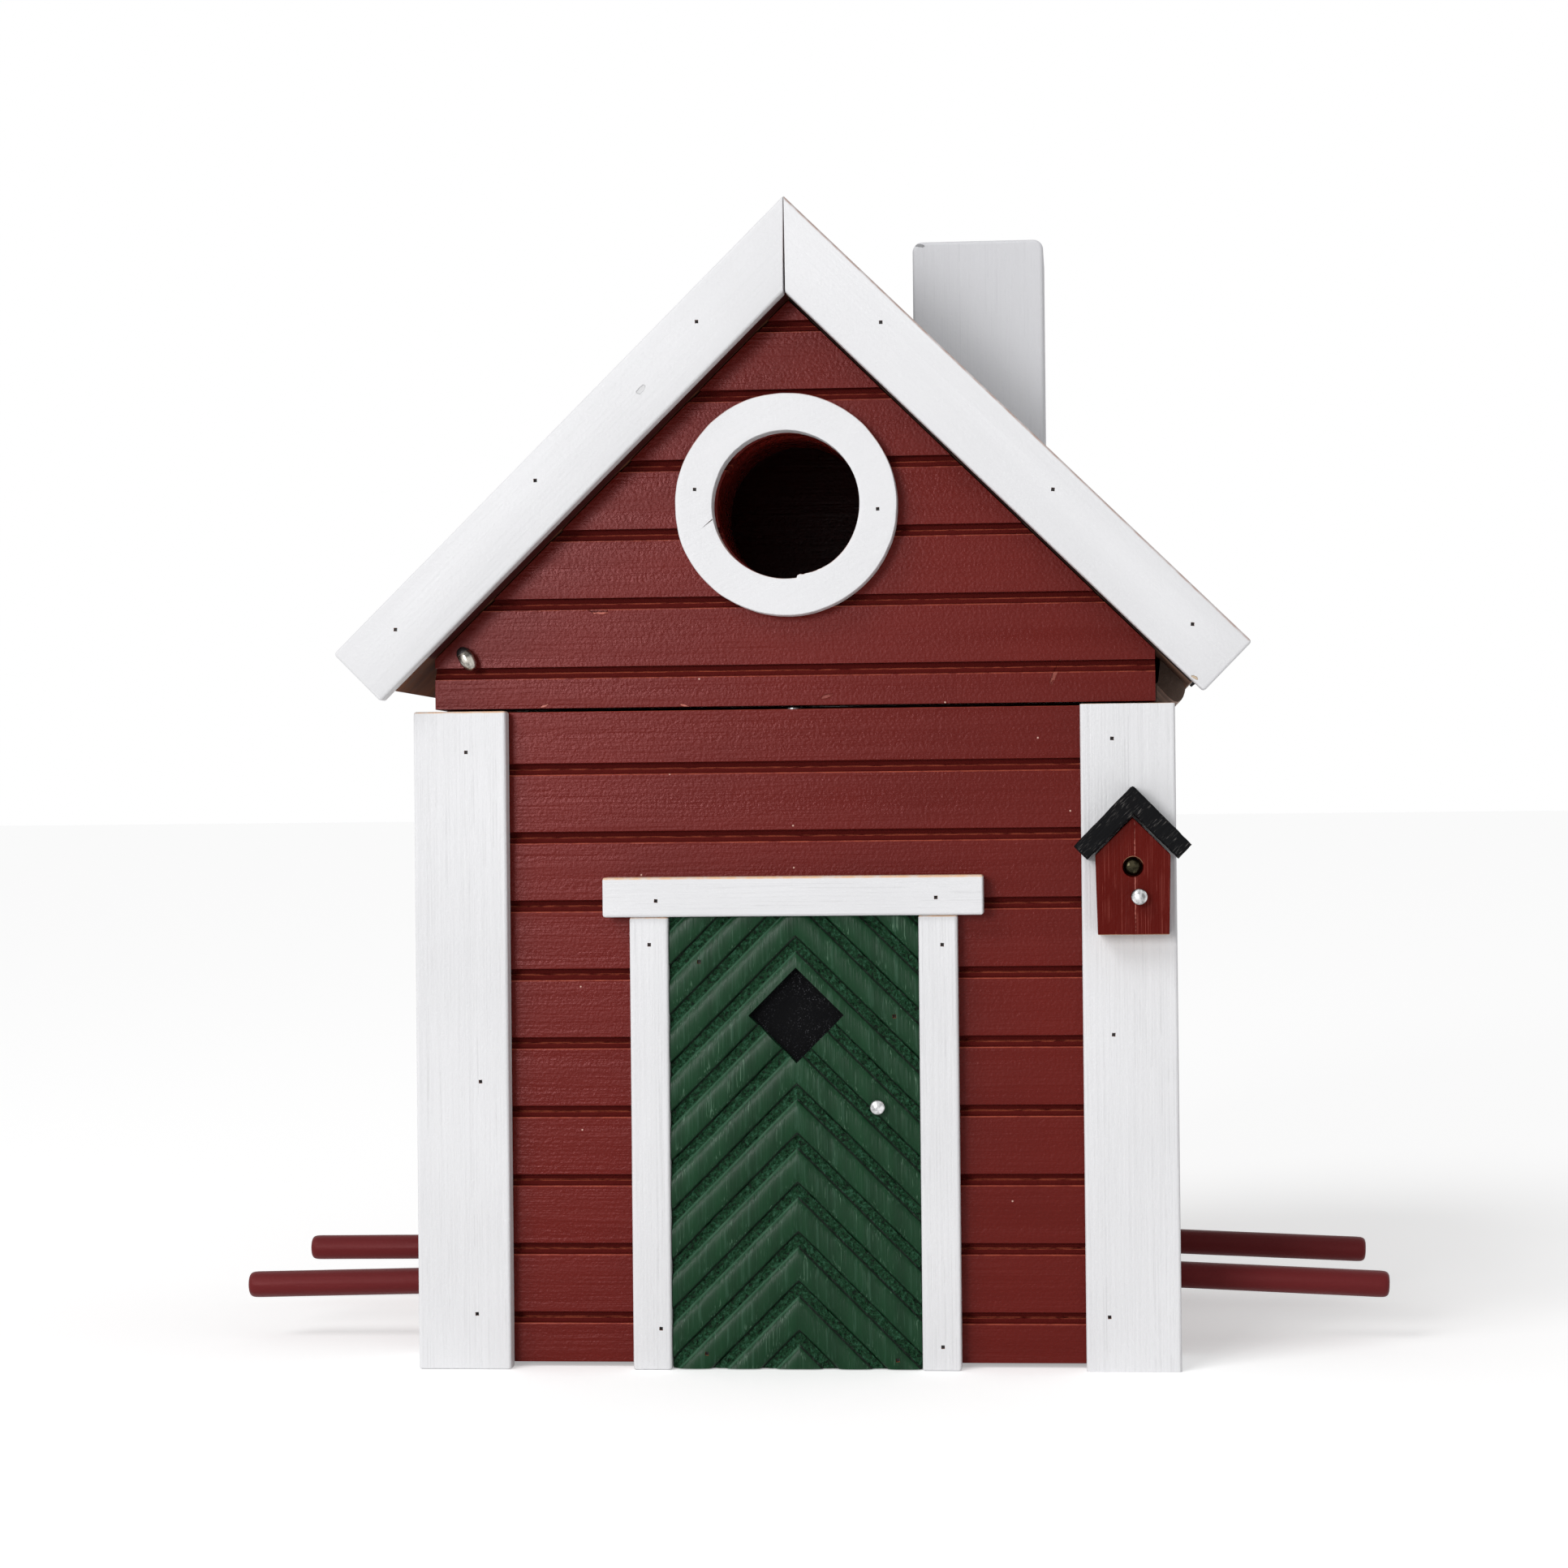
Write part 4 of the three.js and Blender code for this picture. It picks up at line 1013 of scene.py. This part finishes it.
def strip_hinge():
    """One flexible strip: thin on the wall and at the fold, then a thick lip that fills the eave's angle."""
    low, high = corners("hinge_strip_wall")
    eave = corners("roof_board_right")

    def roof_at(x):
        """The height of the roof's underside."""
        return eave[0].z + (eave[1].x - ROOF_BOARD * math.sin(ROOF_PITCH) - x) * math.tan(ROOF_PITCH)

    centre = [(78.9, 127.5 + 0.9 * step) for step in range(22)]
    centre += [(78.93, 147.2), (79.08, 147.85), (79.5, 148.05), (79.9, 147.75), (80.4, 147.2), (81.1, 146.4)]
    centre += [(81.8, 145.65), (82.6, 144.9), (83.2, 144.45), (83.8, 144.3), (84.4, 144.6), (84.8, 145.2)]
    centre += [(85.1, 146.1), (85.3, 147.0)]
    half = 0.32
    below, above = [], []
    for i, (x, z) in enumerate(centre):
        before, after = centre[max(i - 1, 0)], centre[min(i + 1, len(centre) - 1)]
        way = Vector((after[0] - before[0], after[1] - before[1])).normalized()
        below.append((x + half * way.y, z - half * way.x))
        x, z = x - half * way.y, z + half * way.x
        above.append((x, roof_at(x) - 0.1 if x > 79.7 else z))
    outline = below + above[::-1]
    steps = 40
    points = []
    for step in range(steps + 1):
        y = low.y + (high.y - low.y) * step / steps
        for x, z in outline:
            points.append((x + 0.06 * wander(x, y, z, 7), y, z + 0.05 * wander(x, y, z + 50, 7)))
    count = len(outline)
    faces = walls(steps + 1, count)
    for step, flip in ((0, 1), (steps, -1)):
        for i in range(len(centre) - 1):
            face = [step * count + i for i in (i, count - 1 - i, count - 2 - i, i + 1)]
            faces.append(face[::flip])
    strip = piece("strip_hinge", points, faces, materials["hinge"], None, smooth=60)
    face_out(strip)
    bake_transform(strip)
    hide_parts("hinge_strip_wall", "hinge_strip_roof")


# Dressing the solids

WARM_EDGE = (0.8, 0.52, 0.33)
# Painted shade on the hinge strip's front end, in front of its depth.
HINGE_PAINTED_SHADE = ((0.1, 0.066, 0.048), -39.5, 0.0)
materials = {
    "door": door_paint(),
    "ring": painted("white_ring", WHITE, "ring", shine=0.07, variation=0.02, tops=(0.74, 0.55, 0.5)),
    "dowel": painted("red_dowel", DOWEL_RED, "x", gloss=0.42, shine=0.22, glow=(1, 0.5, 0.5)),
    "steel": steel("bright_steel"),
    # Painted reflection and shade for the lock pin's dark cap.
    "pin_cap_painted_reflection": steel("pin_cap_painted_reflection", bright=0.2, dull=0.08, roughness=0.3),
    "pin_steel": steel("pin_steel", bright=0.55, dull=0.1, roughness=0.2, hue=(1, 0.94, 0.84)),
    "nail": steel("nail_steel", bright=0.03, dull=0.012, roughness=0.4),
    "bare": stained("bare_wood", (0.3, 0.11, 0.05), "z"),
    "brass": steel("aged_brass", bright=0.045, dull=0.004, roughness=0.28, hue=(1, 0.86, 0.5)),
    "black": painted(
        "black_left_slope",
        BLACK,
        "left_slope",
        relief=0.0003,
        gloss=0.5,
        shine=0.05,
        streaks=(0.6, (0.12, 0.112, 0.106), 560, 4600),
    ),
    "felt": felted("roof_felt", (0.02, 0.021, 0.023), (0.09, 0.09, 0.1), grain=1400),
    "hinge": stained("hinge_rubber", (0.42, 0.31, 0.26), "y", HINGE_PAINTED_SHADE),
    "bargeboard_left": painted(
        "white_left_slope",
        WHITE,
        "left_slope",
        shine=0.07,
        variation=0.02,
        wear_and_light=[((-31.0, -73.4, 211.5), (1.1, 3, 0.6), -44, (0.66, 0.66, 0.67))],
    ),
    "bargeboard_right": painted(
        "white_right_slope",
        WHITE,
        "right_slope",
        shine=0.07,
        variation=0.02,
        tops=(0.5, 0.36, 0.32),
        wear_and_light=[((86.5, -73.4, 148.1), (0.95, 3, 0.3), 28, (0.6, 0.47, 0.34))],
    ),
}

WALL_GROOVES, GABLE_GROOVES = 10.65, 151.35
SATIN = {"shine": 0.3, "glow": (1, 0.44, 0.45)}
dress(painted("red_inside", tint(RED, 1.15)[:3], "x"), "entrance_block")
dress(
    painted("red_front", RED, "x", tops=(0.3, 0.05, 0.03), grooves=WALL_GROOVES, specks=0.05, **SATIN),
    "front_wall",
    "rear_wall",
)
dress(painted("red_rear_gable", RED, "x", grooves=GABLE_GROOVES), "rear_gable")
# Painted light: the first oval lightens the red on the upper wall of the entrance hole near its mouth; the
# others are nicks and scars in the paint.
gable_wear_and_light = [
    ((0.8, -54.4, 194.5), (14.0, 7.2, 10.5), 0, (0.28, 0.022, 0.015)),
    ((-42.3, -62.2, 164.9), (2.1, 3, 0.6), 0, (0.05, 0.003, 0.002)),
    ((-42.0, -62.2, 164.3), (1.7, 3, 0.3), 0, (0.42, 0.13, 0.1)),
    ((-54.5, -62.2, 144.1), (1.2, 3, 0.3), -20, (0.45, 0.16, 0.13)),
    ((-23.7, -62.2, 143.9), (0.9, 3, 0.26), 15, (0.42, 0.13, 0.1)),
    ((57.0, -62.2, 150.0), (0.45, 3, 2.9), 20, (0.22, 0.06, 0.045)),
    ((7.4, -62.2, 145.4), (1.5, 3, 0.4), -15, (0.2, 0.05, 0.04)),
]
dress(
    painted("red_gable", RED, "x", wear_and_light=gable_wear_and_light, grooves=GABLE_GROOVES, specks=0.05, **SATIN),
    "front_gable",
)
dress(painted("red_along_y", RED, "y", grooves=WALL_GROOVES), "side_wall_left", "side_wall_right")
mini_red = painted(
    "red_upright",
    (0.094, 0.0045, 0.0023),
    "z",
    relief=0.0002,
    gloss=0.4,
    shine=0.06,
    streaks=(0.6, (0.36, 0.09, 0.07), 26, 9500),
    bottoms=BARE_WOOD,
    wear_and_light=[((73.5, -74.2, 105.5), (0.16, 3, 12.5), 0, (0.36, 0.1, 0.08))],
)
dress(mini_red, "mini_house_body")
corner_boards = [
    "corner_front_left",
    "corner_front_right",
    "corner_side_left_front",
    "corner_side_left_rear",
    "corner_side_right_front",
    "corner_side_right_rear",
]
BRUSHED = {
    "relief": 0.0003,
    "shine": 0.07,
    "variation": 0.03,
    "streaks": (0.4, (0.6, 0.6, 0.61), 18, 3400),
}
white_upright = painted("white_upright", WHITE, "z", tops=WARM_EDGE, **BRUSHED)
dress(white_upright, "door_jamb_left", "door_jamb_right", *corner_boards)
dress(painted("white_along_x", WHITE, "x", tops=WARM_EDGE, **BRUSHED), "door_lintel")
chimney_paint = painted(
    "grey_upright",
    GREY,
    "z",
    relief=0.0003,
    variation=0.03,
    gloss=0.55,
    streaks=(0.3, (0.6, 0.6, 0.625), 18, 3400),
    wear_and_light=[((26.4, -7.3, 251.9), (1.1, 3, 0.35), 8, (0.34, 0.34, 0.35))],
)
dress(chimney_paint, "chimney")
dress(stained("brown_along_y", BROWN, "y"), "floor_board")
# Painted shade: the roof boards' undersides in front of the gable, under the bargeboards, are near black on
# the right and dark red on the left beside the gable.
red_painted_shade = ((0.045, 0.004, 0.003), -62.0, -79.0)
black_painted_shade = ((0.012, 0.006, 0.005), -62.0, 0.0)
# The two roof boards are one stain, in a darker copy on the left and a lighter one on the right: painted
# shade and painted light on their eaves' undersides.
dress(stained("brown_left_slope", (0.21, 0.08, 0.036), "left_slope", red_painted_shade), "roof_board_left")
dress(stained("brown_right_slope", (0.235, 0.135, 0.09), "right_slope", black_painted_shade), "roof_board_right")
dress(
    felted("window_felt", (0.002, 0.002, 0.0027), (0.075, 0.075, 0.082), grain=2300, density=0.61),
    "door_window_backing",
)
dress(steel("dull_steel", bright=0.3, dull=0.12, roughness=0.3), "gap_stud")

soften(0.00025, "front_wall", "rear_wall", "front_gable", "rear_gable", "side_wall_left", "side_wall_right")
soften(0.0005, "door_jamb_left", "door_jamb_right", "door_lintel", *corner_boards)
soften(0.0004, "mini_house_body")
soften(0.0009, "chimney", segments=4)

door = carved_door()
ring = entrance_ring()
for perch_name in ("perch_left_front", "perch_left_rear", "perch_right_front", "perch_right_rear"):
    perch(perch_name)
ball_on_pin("turned_knob", "door_knob", materials["steel"])
ball_on_pin("turned_mini_perch", "mini_house_perch", materials["steel"])
cross_screw()
lock_pin()
mini_roof()
felt_cover()
strip_hinge()
left_barge = bargeboard("bargeboard_left")
right_barge = bargeboard("bargeboard_right")

for board, front, places in (
    (nodes["corner_front_left"], -67.2, [(-70.95, 134.1), (-68.4, 62.5), (-69.6, 12.1)]),
    (nodes["corner_front_right"], -67.2, [(69.0, 135.5), (68.7, 72.1), (67.2, 11.7)]),
    (nodes["door_lintel"], -68.7, [(-29.5, 101.5), (31.0, 101.8)]),
    (nodes["door_jamb_left"], -67.2, [(-31.2, 92.0), (-29.4, 9.0)]),
    (nodes["door_jamb_right"], -67.2, [(32.2, 91.6), (31.5, 5.2)]),
    (door, -66.1, [(-20.5, 88.2), (21.7, 76.2), (-19.6, 3.5), (21.7, 2.2)]),
    (ring, -67.7, [(-20.3, 190.4), (19.3, 185.5)]),
    (left_barge, -73.4, [(-18.9, 225.9), (-54.2, 192.4), (-85.0, 160.7)]),
    (right_barge, -73.4, [(20.7, 224.9), (57.0, 188.5), (86.2, 159.4)]),
):
    nailed(board, [(x, front, z) for x, z in places], (0, -1, 0))
side_heights = (134, 71, 12)
for side_name, x, y, way in (
    ("corner_side_left_front", -82.5, -54.0, -1),
    ("corner_side_left_rear", -82.5, 66.0, -1),
    ("corner_side_right_front", 82.5, -54.0, 1),
    ("corner_side_right_rear", 82.5, 66.0, 1),
):
    nailed(nodes[side_name], [(x, y + 0.02 * height, height) for height in side_heights], (way, 0, 0))

for node in nodes.values():
    if "bevel" in node.modifiers:
        node.modifiers.new("even shading", "WEIGHTED_NORMAL").keep_sharp = True
